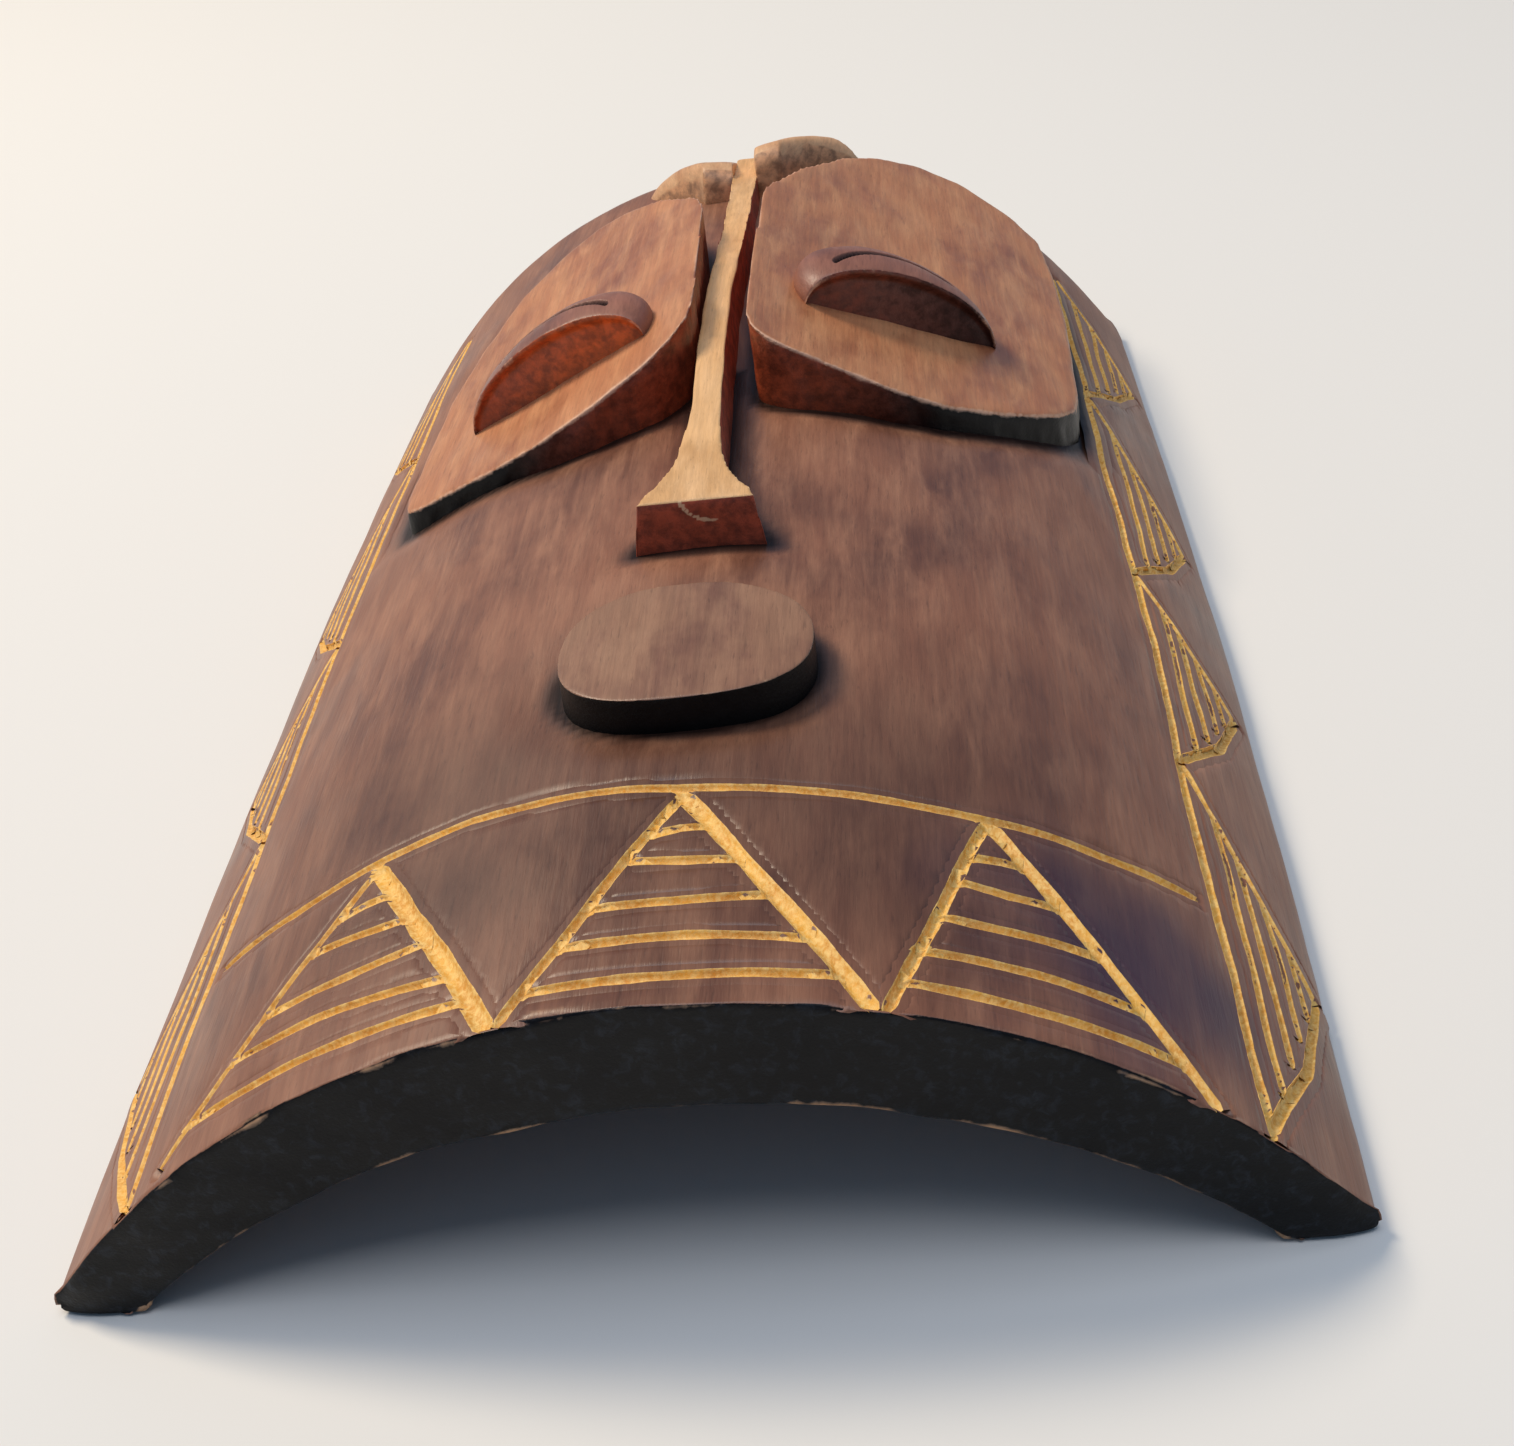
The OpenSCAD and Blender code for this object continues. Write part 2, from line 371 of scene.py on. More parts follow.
@dataclass(frozen=True)
class Stroke:
    """One cut of the gouge, as plan corners with a width in millimetres."""

    corners: tuple[Point, ...]
    width: float
    seed: float

    def path(self, step: float) -> list[Vector]:
        """Gives the cut's middle line on the worked front.

        Args:
            step: The spacing wanted, in millimetres.

        Returns:
            Points on the front, in millimetres.
        """
        flat = polyline([Vector((x, y, 0.0)) for x, y in self.corners], step)
        path = []
        for i, p in enumerate(flat):
            sway = 0.45 * noise.noise(Vector((i * step / 16.0, self.seed, 0.3)))
            ahead = flat[min(i + 1, len(flat) - 1)] - flat[max(i - 1, 0)]
            side = Vector((-ahead.y, ahead.x, 0.0)).normalized()
            q = p + side * sway
            path.append(on_front(q.x, q.y))
        return path


@dataclass
class Linework:
    """All cuts of the borders, grouped by the piece they belong to."""

    line_w: float = 1.8
    side_x: float = 83.0
    reach: float = 4.5
    ticks: tuple[float, ...] = (343.0, 255.0, 162.0, 92.0, 1.0)
    tips: tuple[float, ...] = (290.0, 196.0, 128.0, 46.0)
    groups: dict[str, list[Stroke]] = field(default_factory=dict)
    owners: list[Stroke] = field(default_factory=list)
    search: KDTree | None = None
    count: int = 0

    def cut(self, group: str, corners: Iterable[Point], width: float) -> None:
        """Adds one cut to a group.

        Args:
            group: The piece that the cut belongs to.
            corners: Plan corners of the cut, in millimetres.
            width: Width of the cut, in millimetres.
        """
        self.count += 1
        stroke = Stroke(tuple(corners), width, self.count * 7.3)
        self.groups.setdefault(group, []).append(stroke)

    def chin(self) -> None:
        """Lays out the arch line and the three hatched triangles."""
        arch = [(-80.0, 51.8), (-64.0, 50.2), (-49.0, 51.6), (-33.0, 52.6), (-17.0, 52.0),
                (0.0, 50.4), (16.5, 49.4), (32.0, 48.8), (48.0, 48.4), (65.0, 48.9), (80.0, 50.6)]
        self.cut("chin_arch_line", arch, self.line_w)
        self.triangle("chin_triangle_left", (-48.6, 49.5), (-76.5, 4.0), (-23.0, 0.4), 1.7, 3.2)
        self.triangle("chin_triangle_middle", (1.7, 48.4), (-21.5, 0.4), (30.2, 0.4), 1.7, 2.8)
        self.triangle("chin_triangle_right", (47.6, 47.0), (31.5, 0.4), (76.0, 0.6), 1.8, 2.7)

    def triangle(self, group: str, apex: Point, left: Point, right: Point,
                 left_w: float, right_w: float) -> None:
        """Lays out a triangle standing on the chin edge, with its hatching.

        Args:
            group: The piece that the cuts belong to.
            apex: Its point.
            left: Foot of its left leg.
            right: Foot of its right leg.
            left_w: Width of the left leg.
            right_w: Width of the right leg.
        """
        a, b, c = (Vector((*p, 0.0)) for p in (apex, left, right))
        for i, t in enumerate((0.19, 0.34, 0.53, 0.71, 0.87)):
            slip = 0.015 * math.sin(i * 2.4 + self.count)
            p, q = a.lerp(b, t + slip), a.lerp(c, t - slip)
            m = p.lerp(q, 0.5) + Vector((0.0, 0.5 * math.sin(i + self.count), 0.0))
            self.cut(group, [(p.x, p.y), (m.x, m.y), (q.x, q.y)], self.line_w)
        self.cut(group, [apex, left], left_w)
        self.cut(group, [apex, right], right_w)

    def sides(self) -> None:
        """Lays out the long side lines and the leaning triangles, both sides."""
        x0, tip_x = self.side_x + 0.6, self.side_x + 15.0
        for name, s in (("left", -1.0), ("right", 1.0)):
            rail = [(s * (self.side_x + 0.5 * math.sin(k * 1.7 + s)), 1.0 + 34.0 * k) for k in range(11)]
            self.cut(f"side_line_{name}", rail, self.line_w * 1.05)
            group = f"side_triangles_{name}"
            for i in range(4):
                a = Vector((s * x0, self.ticks[i], 0.0))
                t = Vector((s * tip_x, self.tips[i], 0.0))
                b = Vector((s * x0, self.ticks[i + 1] + 1.5, 0.0))
                for k, f in enumerate((0.24, 0.44, 0.64, 0.82)):
                    p, q = a.lerp(t, f + 0.02 * math.sin(k + i)), b.lerp(t, f)
                    self.cut(group, [(p.x, p.y), (q.x, q.y)], self.line_w * 0.85)
                m = t.lerp(b, 0.5) + Vector((s * 1.4, -1.2, 0.0))
                self.cut(group, [(a.x, a.y), (t.x, t.y)], self.line_w)
                self.cut(group, [(t.x, t.y), (m.x, m.y), (b.x, b.y)], self.line_w * 1.15)

    def index(self) -> None:
        """Makes the search tree over all cuts."""
        self.owners = [s for strokes in self.groups.values() for s in strokes for _ in s.path(0.7)]
        self.search = KDTree(len(self.owners))
        points = (p for strokes in self.groups.values() for s in strokes for p in s.path(0.7))
        for i, p in enumerate(points):
            self.search.insert(p, i)
        self.search.balance()

    def clearance(self, co: Vector) -> float:
        """Gives how far a point lies outside the nearest cut, in millimetres.

        Args:
            co: The point, in millimetres.

        Returns:
            The distance, at most the search reach.
        """
        near = self.search.find_range(co, self.reach)
        return min((gap - self.owners[i].width / 2.0 for _, i, gap in near), default=self.reach)

    def crossing(self, co: Vector, own: Stroke) -> float:
        """Gives how deep a cut other than its own is at a point, from 0 to 1.

        Args:
            co: The point, in millimetres.
            own: The cut that is left out.

        Returns:
            The share of the full depth.
        """
        near = self.search.find_range(co, 2.0)
        shares = (2.0 * gap / self.owners[i].width for _, i, gap in near if self.owners[i] is not own)
        return max((1.0 - share * share for share in shares if share < 1.0), default=0.0)


# ---------- finishes ----------


def linear(hex_colour: str) -> tuple[float, float, float, float]:
    """Turns an sRGB hex colour into linear light.

    Args:
        hex_colour: Six hex digits.

    Returns:
        Red, green, blue and an alpha of 1.
    """
    out = []
    for i in (0, 2, 4):
        c = int(hex_colour[i:i + 2], 16) / 255.0
        out.append(c / 12.92 if c <= 0.04045 else ((c + 0.055) / 1.055) ** 2.4)
    return out[0], out[1], out[2], 1.0


Link = tuple[bpy.types.Node, str | int]


def add(tree: bpy.types.NodeTree, kind: str, settings: dict[str, object] | None = None,
        values: dict[str | int, object] | None = None,
        links: dict[str | int, Link] | None = None) -> bpy.types.Node:
    """Adds a node with its settings, socket values and incoming links.

    Args:
        tree: The material's node tree.
        kind: The node's type name.
        settings: Attributes to set on the node.
        values: Constant values for its input sockets.
        links: Incoming links, as input socket to (node, output socket).

    Returns:
        The new node.
    """
    node = tree.nodes.new(kind)
    for key, value in (settings or {}).items():
        setattr(node, key, value)
    for key, value in (values or {}).items():
        node.inputs[key].default_value = value
    for key, (source, output) in (links or {}).items():
        tree.links.new(source.outputs[output], node.inputs[key])
    return node


def attribute(tree: bpy.types.NodeTree, name: str) -> Link:
    """Reads a value that a mesh stores on its vertices."""
    return add(tree, "ShaderNodeAttribute", {"attribute_name": name}), "Fac"


def scaled(tree: bpy.types.NodeTree, colour: Link, factor: Link) -> bpy.types.Node:
    """Brightens or darkens a colour by a factor, as output 0."""
    return add(tree, "ShaderNodeVectorMath", {"operation": "SCALE"}, None, {0: colour, "Scale": factor})


def ragged(tree: bpy.types.NodeTree, cover: Link, pattern: Link, gain: float) -> bpy.types.Node:
    """Breaks up the edge of a covered area with a pattern.

    Args:
        tree: The material's node tree.
        cover: How far the area is covered.
        pattern: Noise from 0 to 1.
        gain: How strongly the noise counts.

    Returns:
        The node whose output 0 is the broken cover.
    """
    shift = add(tree, "ShaderNodeMath", {"operation": "MULTIPLY_ADD"}, {1: gain, 2: -gain / 2}, {0: pattern})
    return add(tree, "ShaderNodeMath", {"operation": "ADD"}, None, {0: cover, 1: (shift, 0)})


@dataclass(frozen=True)
class WoodFinish:
    """Close-grained carved wood with a wiped, waxed stain.

    The stain lies unevenly over long fibres, is rubbed off along the edges and
    keeps a soft wax shine, with fine scratches from sanding and handling.
    """

    name: str
    deep: str
    mid: str
    light: str
    worn: str
    wall: str
    wall_far: str
    grain_mm: float = 0.9
    patch_mm: float = 38.0
    wear: float = 0.75
    shine: float = 0.42
    wall_span: tuple[float, float] = (10.0, 48.0)
    # colour of the painted shade in corners and slits, and of the darkening over the chin
    darkening_tone: str = "1c100c"

    def fibres(self, tree: bpy.types.NodeTree, width: float, length: float, turn: float,
               detail: float, twist: float) -> bpy.types.Node:
        """Adds noise drawn out along the wood's length.

        Args:
            tree: The material's node tree.
            width: Width of a streak, in millimetres.
            length: Length of a streak, in millimetres.
            turn: Turn of the streaks in plan, in degrees.
            detail: Detail of the noise.
            twist: Distortion of the noise.

        Returns:
            The noise node.
        """
        coords = add(tree, "ShaderNodeTexCoord")
        mapping = add(tree, "ShaderNodeMapping", None,
                      {"Rotation": (0.0, 0.0, math.radians(turn)),
                       "Scale": (1.0 / (width * MM), 1.0 / (length * MM), 1.0 / (width * MM))},
                      {"Vector": (coords, "Object")})
        return add(tree, "ShaderNodeTexNoise", None,
                   {"Scale": 1.0, "Detail": detail, "Roughness": 0.62, "Distortion": twist},
                   {"Vector": (mapping, "Vector")})

    def blend(self, tree: bpy.types.NodeTree, factor: Link, low: Link | str, high: Link | str,
              mode: str = "MIX") -> bpy.types.Node:
        """Mixes two colours by a factor.

        Args:
            tree: The material's node tree.
            factor: Where the factor comes from.
            low: Colour at 0, as hex or a link.
            high: Colour at 1, as hex or a link.
            mode: How the colours are blended.

        Returns:
            The mix node, whose colour is output 2.
        """
        values: dict[str | int, object] = {}
        links: dict[str | int, Link] = {0: factor}
        for socket, colour in ((6, low), (7, high)):
            if isinstance(colour, str):
                values[socket] = linear(colour)
            else:
                links[socket] = colour
        settings = {"data_type": "RGBA", "blend_type": mode}
        return add(tree, "ShaderNodeMix", settings, values, links)

    def ranged(self, tree: bpy.types.NodeTree, source: Link, low: float, high: float,
               to_low: float = 0.0, to_high: float = 1.0) -> bpy.types.Node:
        """Maps a value from one range to another, with a smooth start and end.

        Args:
            tree: The material's node tree.
            source: Where the value comes from.
            low: Lower end of its range.
            high: Upper end of its range.
            to_low: Result at the lower end.
            to_high: Result at the upper end.

        Returns:
            The node whose output 0 is the result.
        """
        return add(tree, "ShaderNodeMapRange", {"interpolation_type": "SMOOTHSTEP"},
                   {"From Min": low, "From Max": high, "To Min": to_low, "To Max": to_high},
                   {"Value": source})

    def build(self) -> bpy.types.Material:
        """Makes the material.

        Returns:
            The finished material.
        """
        material = bpy.data.materials.new(self.name)
        material.use_nodes = True
        tree = material.node_tree
        shader = tree.nodes["Principled BSDF"]
        patches = self.fibres(tree, self.patch_mm, self.patch_mm * 1.6, 28.0, 4.0, 0.25)
        streaks = self.fibres(tree, self.grain_mm * 6, 30.0, -10.0, 5.0, 0.35)
        grain = self.fibres(tree, self.grain_mm, self.grain_mm * 18, 2.0, 4.0, 0.3)
        pores = self.fibres(tree, self.grain_mm * 0.5, self.grain_mm * 6, 0.0, 2.0, 0.0)
        lift = self.ranged(tree, (patches, 0), 0.28, 0.6)
        colour = self.blend(tree, (lift, 0), self.deep, self.mid)
        streak = self.ranged(tree, (streaks, 0), 0.34, 0.8, 0.0, 0.7)
        colour = self.blend(tree, (streak, 0), (colour, 2), self.light)
        shade = self.ranged(tree, (grain, 0), 0.3, 0.72, 0.88, 1.08)
        tone = scaled(tree, (colour, 2), (shade, 0))
        pore = self.ranged(tree, (pores, 0), 0.28, 0.4, 0.78, 1.0)
        tone = scaled(tree, (tone, 0), (pore, 0))
        colour = self.walls(tree, (tone, 0), (grain, 0))
        # mixes towards that dark colour: painted shade in corners and in the lid slits, and a darkening over
        # the chin
        colour = self.blend(tree, attribute(tree, "painted_shade_and_darkening"), (colour, 2), self.darkening_tone)
        colour, bare = self.worn_edges(tree, (colour, 2), (streaks, 0))
        tree.links.new(colour.outputs[2], shader.inputs["Base Color"])
        self.surface(tree, shader, (grain, 0), (pores, 0), (patches, 0), (bare, 0))
        # black paint is dead matt, so it takes almost no shine
        value = add(tree, "ShaderNodeRGBToBW", None, None, {"Color": (colour, 2)})
        gloss = self.ranged(tree, (value, 0), 0.008, 0.05, 0.2, 0.5)
        tree.links.new(gloss.outputs[0], shader.inputs["Specular IOR Level"])
        return material

    def walls(self, tree: bpy.types.NodeTree, face: Link, grain: Link) -> bpy.types.Node:
        """Lays the darker paint that the carver left on upright cut walls; on the right eyelid's cut front
        this paint is painted darker still as shade.

        Args:
            tree: The material's node tree.
            face: Colour of the open faces.
            grain: Fine grain, which mottles the paint.

        Returns:
            The mix node with the combined colour.
        """
        coords = add(tree, "ShaderNodeTexCoord")
        parts = add(tree, "ShaderNodeSeparateXYZ", None, None, {0: (coords, "Object")})
        across = add(tree, "ShaderNodeMath", {"operation": "ABSOLUTE"}, None, {0: (parts, "X")})
        span = self.ranged(tree, (across, 0), self.wall_span[0] * MM, self.wall_span[1] * MM)
        mottle = self.fibres(tree, 2.6, 3.6, 0.0, 6.0, 0.25)
        paint = self.blend(tree, (span, 0), self.wall, self.wall_far)
        spots = self.ranged(tree, (mottle, 0), 0.3, 0.7, 0.5, 1.3)
        paint = scaled(tree, (paint, 2), (spots, 0))
        edge = ragged(tree, attribute(tree, "wall"), grain, 0.5)
        cover = self.ranged(tree, (edge, 0), 0.35, 0.6)
        return self.blend(tree, (cover, 0), face, (paint, 0))

    def worn_edges(self, tree: bpy.types.NodeTree, colour: Link,
                   streaks: Link) -> tuple[bpy.types.Node, bpy.types.Node]:
        """Rubs the stain off along the raised edges.

        Args:
            tree: The material's node tree.
            colour: Colour before the wear.
            streaks: Broad grain; not used here.

        Returns:
            The mix node, and the node whose output 0 is how bare the wood is.
        """
        specks = self.fibres(tree, 4.0, 9.0, 8.0, 4.0, 0.5)
        level = ragged(tree, attribute(tree, "wear"), (specks, 0), 0.7)
        bare = self.ranged(tree, (level, 0), 0.3, 0.62, 0.0, self.wear)
        return self.blend(tree, (bare, 0), colour, self.worn), bare

    def surface(self, tree: bpy.types.NodeTree, shader: bpy.types.Node, grain: Link,
                pores: Link, patches: Link, bare: Link) -> None:
        """Sets shine, fibres and fine scratches on the shader.

        Args:
            tree: The material's node tree.
            shader: The surface shader.
            grain: Fine grain.
            pores: Open pores.
            patches: Broad unevenness of the wax.
            bare: How far the stain is rubbed off.
        """
        scratch = self.fibres(tree, 0.35, 26.0, 71.0, 2.0, 0.2)
        wax = self.ranged(tree, patches, 0.3, 0.7, self.shine - 0.06, self.shine + 0.1)
        dull = add(tree, "ShaderNodeMath", {"operation": "MULTIPLY_ADD"}, {1: 0.22}, {0: bare, 2: (wax, 0)})
        lines = self.ranged(tree, (scratch, 0), 0.62, 0.7, 0.0, 0.1)
        final = add(tree, "ShaderNodeMath", {"operation": "ADD"}, None, {0: (dull, 0), 1: (lines, 0)})
        tree.links.new(final.outputs[0], shader.inputs["Roughness"])
        fine = add(tree, "ShaderNodeBump", None, {"Strength": 0.32, "Distance": 0.00022},
                   {"Height": grain})
        holes = add(tree, "ShaderNodeBump", None, {"Strength": 0.3, "Distance": 0.00018},
                    {"Height": pores, "Normal": (fine, 0)})
        nicks = add(tree, "ShaderNodeBump", {"invert": True}, {"Strength": 0.22, "Distance": 0.00012},
                    {"Height": (lines, 0), "Normal": (holes, 0)})
        tree.links.new(nicks.outputs[0], shader.inputs["Normal"])
        shader.inputs["IOR"].default_value = 1.5


@dataclass(frozen=True)
class ShellFinish(WoodFinish):
    """Stained front, blackened chin end with painted sheen streaks, and dull brown hollow of the shell."""

    end_black: str = "040507"
    # grey of the painted sheen streaks on the black end
    end_sheen_grey: str = "1c2128"
    hollow: str = "6b4a33"
    tint: str = "231c3c"

    def walls(self, tree: bpy.types.NodeTree, face: Link, grain: Link) -> bpy.types.Node:
        """Adds the cool tint near the chin, the black end paint with painted sheen streaks, and the hollow.

        Args:
            tree: The material's node tree.
            face: Colour of the front.
            grain: Fine grain, which breaks up the edges of the paint.

        Returns:
            The mix node with the combined colour.
        """
        tinted = self.blend(tree, attribute(tree, "cool"), face, self.tint)
        mottle = self.fibres(tree, 2.4, 9.0, 12.0, 5.0, 0.8)
        spots = self.ranged(tree, (mottle, 0), 0.3, 0.7, 0.55, 1.35)
        raw = add(tree, "ShaderNodeVectorMath", {"operation": "SCALE"}, {0: linear(self.hollow)[:3]},
                  {"Scale": (spots, 0)})
        lined = self.blend(tree, attribute(tree, "inside"), (tinted, 2), (raw, 0))
        edge = ragged(tree, attribute(tree, "wall"), grain, 0.7)
        cover = self.ranged(tree, (edge, 0), 0.32, 0.6)
        chips = self.fibres(tree, 1.4, 1.4, 0.0, 6.0, 1.0)
        scuffed = self.ranged(tree, (chips, 0), 0.74, 0.82)
        # grey diagonal streaks on the black end, a painted sheen
        sheen_streaks = self.fibres(tree, 2.2, 9.0, 58.0, 5.0, 0.5)
        sheen_lines = self.ranged(tree, (sheen_streaks, 0), 0.48, 0.72)
        black = self.blend(tree, (sheen_lines, 0), self.end_black, self.end_sheen_grey)
        black = self.blend(tree, (scuffed, 0), (black, 2), self.light)
        return self.blend(tree, (cover, 0), (lined, 2), (black, 2))


@dataclass(frozen=True)
class GougedFinish(ShellFinish):
    """Raw yellow wood laid bare by the gouge, between stained lips."""

    raw: str = "e8ac3e"
    raw_deep: str = "cc8a28"
    raw_light: str = "f0c878"

    def worn_edges(self, tree: bpy.types.NodeTree, colour: Link,
                   streaks: Link) -> tuple[bpy.types.Node, bpy.types.Node]:
        """Lays raw wood in the cut, with torn fibres along its lips.

        Args:
            tree: The material's node tree.
            colour: Colour of the stained lips.
            streaks: Broad grain, which shades the raw wood.

        Returns:
            The mix node, and the node whose output 0 is how bare the wood is.
        """
        bits = self.fibres(tree, 0.8, 1.3, 0.0, 5.0, 0.5)
        tone = self.ranged(tree, (bits, 0), 0.3, 0.72)
        shade = self.ranged(tree, streaks, 0.35, 0.7)
        bare = self.blend(tree, (shade, 0), self.raw_deep, self.raw)
        bare = self.blend(tree, (tone, 0), (bare, 2), self.raw_light)
        edge = ragged(tree, attribute(tree, "cut"), (bits, 0), 0.7)
        cover = self.ranged(tree, (edge, 0), 0.38, 0.58)
        return self.blend(tree, (cover, 0), colour, (bare, 2)), cover


@dataclass(frozen=True)
class MetalFinish:
    """Plated sheet and wire: a cool grey or yellow metal with fine wear."""

    name: str
    colour: str
    dull: str
    roughness: float

    def build(self) -> bpy.types.Material:
        """Makes the material.

        Returns:
            The finished material.
        """
        material = bpy.data.materials.new(self.name)
        material.use_nodes = True
        tree = material.node_tree
        shader = tree.nodes["Principled BSDF"]
        coords = add(tree, "ShaderNodeTexCoord")
        # plating blotches a few millimetres across
        blots = add(tree, "ShaderNodeTexNoise", None, {"Scale": 420.0, "Detail": 5.0},
                    {"Vector": (coords, "Object")})
        scuffs = add(tree, "ShaderNodeTexNoise", None, {"Scale": 2600.0, "Detail": 3.0},
                     {"Vector": (coords, "Object")})
        tarnish = add(tree, "ShaderNodeMix", {"data_type": "RGBA"},
                      {6: linear(self.colour), 7: linear(self.dull)}, {0: (blots, 0)})
        haze = add(tree, "ShaderNodeMapRange", None,
                   {"From Min": 0.3, "From Max": 0.7, "To Min": self.roughness - 0.08,
                    "To Max": self.roughness + 0.14}, {"Value": (blots, 0)})
        bump = add(tree, "ShaderNodeBump", None, {"Strength": 0.15, "Distance": 0.00005},
                   {"Height": (scuffs, 0)})
        tree.links.new(tarnish.outputs[2], shader.inputs["Base Color"])
        tree.links.new(haze.outputs[0], shader.inputs["Roughness"])
        tree.links.new(bump.outputs[0], shader.inputs["Normal"])
        shader.inputs["Metallic"].default_value = 1.0
        return material


@dataclass
class Finishes:
    """All finishes of the mask, each made once."""

    # brown stain over long grain, black painted chin end, dull bare hollow
    shell: WoodFinish = ShellFinish(
        "stained carved wood", "623d2d", "8a5a42", "ac7a5c", "c99a72", "17161a", "17161a")
    # warmer and paler stain, so the plates stand off the face; rust to black walls
    plate: WoodFinish = WoodFinish(
        "wiped stain on plate wood", "935638", "b87850", "d89c6c", "dcae8e", "9a4426", "0a0808",
        patch_mm=30.0, shine=0.4)
    # darker domes with an orange-brown cut front
    lid: WoodFinish = WoodFinish(
        "wiped stain on eyelid wood", "734839", "8c5a47", "a8705a", "dcab8a", "cc5e24", "a04420",
        patch_mm=16.0, shine=0.42, wall_span=(20.0, 60.0))
    # the same domes, for the right lid, with the cut front painted a darker, deep red-brown as shade
    lid_painted_shade: WoodFinish = WoodFinish(
        "eyelid wood with painted shade", "734839", "8c5a47", "a8705a", "dcab8a", "7e3820", "3c1c16",
        patch_mm=16.0, shine=0.42, wall_span=(20.0, 60.0))
    # soft brown top over black sides
    mouth: WoodFinish = WoodFinish(
        "stained lip wood", "76503f", "8e664d", "a67d60", "dab088", "0c0a09", "0c0a09",
        patch_mm=14.0, shine=0.45)
    # the palest wood, rubbed bare, with a dark red end
    nose: WoodFinish = WoodFinish(
        "bare rubbed nose wood", "cc9a62", "dfae75", "eabc88", "f2cb9c", "a04429", "a04429",
        grain_mm=0.7, patch_mm=18.0, wear=0.6, shine=0.55, wall_span=(20.0, 60.0))
    # thin stain that lets the wood show, palest on the tops
    crest: WoodFinish = WoodFinish(
        "thin olive stain on crest wood", "b8845a", "d2a074", "e6ba8a", "f6d6a8", "c08c62", "b4825a",
        patch_mm=18.0, shine=0.5)
    # bright yellow raw wood that draws the borders
    gouged: WoodFinish = GougedFinish(
        "raw gouged wood", "623d2d", "8a5a42", "ac7a5c", "c99a72", "17161a", "17161a")
    # cool grey shine with a slight haze
    steel: MetalFinish = MetalFinish("nickel-plated steel", "b9b6ae", "8f8b82", 0.36)
    # dull yellow shine on the screw heads
    brass: MetalFinish = MetalFinish("brassed steel screw", "c2a35a", "8d7440", 0.34)
    made: dict[str, bpy.types.Material] = field(default_factory=dict)

    def get(self, name: str) -> bpy.types.Material:
        """Gives the material of a finish, making it the first time.

        Args:
            name: Name of the finish.

        Returns:
            The material.
        """
        if name not in self.made:
            self.made[name] = getattr(self, name).build()
        return self.made[name]


# ---------- pieces ----------


@dataclass
class Piece:
    """A finished mesh piece: its name, body, slot, finish and CAD nodes."""

    name: str
    nodes: tuple[str, ...]
    slot: Slot
    finish: str
    body: Body = Body.MASK

    def publish(self, bm: bmesh.types.BMesh, finishes: Finishes) -> bpy.types.Object:
        """Turns a mesh into an object that rides its body.

        Args:
            bm: The mesh, in millimetres from the chin end.
            finishes: The finishes of the mask.

        Returns:
            The new object.
        """
        for v in bm.verts:
            v.co = place(*v.co)
        mesh = bpy.data.meshes.new(self.name)
        bm.to_mesh(mesh)
        bm.free()
        mesh.polygons.foreach_set("use_smooth", [True] * len(mesh.polygons))
        mesh.materials.append(finishes.get(self.finish))
        obj = bpy.data.objects.new(self.name, mesh)
        bpy.context.scene.collection.objects.link(obj)
        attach(obj, self.body.value)
        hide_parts(*self.nodes)
        LOG.info("%s: %d faces", self.name, len(mesh.polygons))
        return obj


def mark(bm: bmesh.types.BMesh, name: str, value: Callable[[bmesh.types.BMVert], float]) -> None:
    """Stores a value on each vertex for the finish to read.

    Args:
        bm: The mesh.
        name: Name of the attribute.
        value: Gives the value of a vertex.
    """
    layer = bm.verts.layers.float.new(name)
    bm.verts.ensure_lookup_table()
    found = [value(v) for v in bm.verts]
    for v, f in zip(bm.verts, found):
        v[layer] = f


def mark_wear(bm: bmesh.types.BMesh, gain: float, spread: int) -> None:
    """Stores how much each vertex stands out as an edge.

    Args:
        bm: The mesh, in millimetres.
        gain: How strongly a bend counts.
        spread: How many times the value is spread to its neighbours.
    """
    bm.normal_update()
    bend = []
    for v in bm.verts:
        near = [e.other_vert(v) for e in v.link_edges]
        if not near:
            bend.append(0.0)
            continue
        mean = sum((n.co for n in near), Vector()) / len(near)
        size = sum((n.co - v.co).length for n in near) / len(near)
        bend.append(max(0.0, v.normal.dot(v.co - mean) / max(size, 1e-6)) * gain)
    bm.verts.index_update()
    for _ in range(spread):
        bend = [max(bend[v.index] * 0.9, sum(bend[e.other_vert(v).index] for e in v.link_edges)
                    / max(len(v.link_edges), 1)) for v in bm.verts]
    layer = bm.verts.layers.float.new("wear")
    for v in bm.verts:
        v[layer] = min(bend[v.index], 1.0)


def relax(bm: bmesh.types.BMesh, verts: Sequence[bmesh.types.BMVert], passes: int) -> None:
    """Moves vertices halfway to the middle of their neighbours.

    Args:
        bm: The mesh.
        verts: The vertices that may move.
        passes: How many times they move.
    """
    for _ in range(passes):
        bmesh.ops.smooth_vert(bm, verts=verts, factor=0.5,
                              use_axis_x=True, use_axis_y=True, use_axis_z=True)


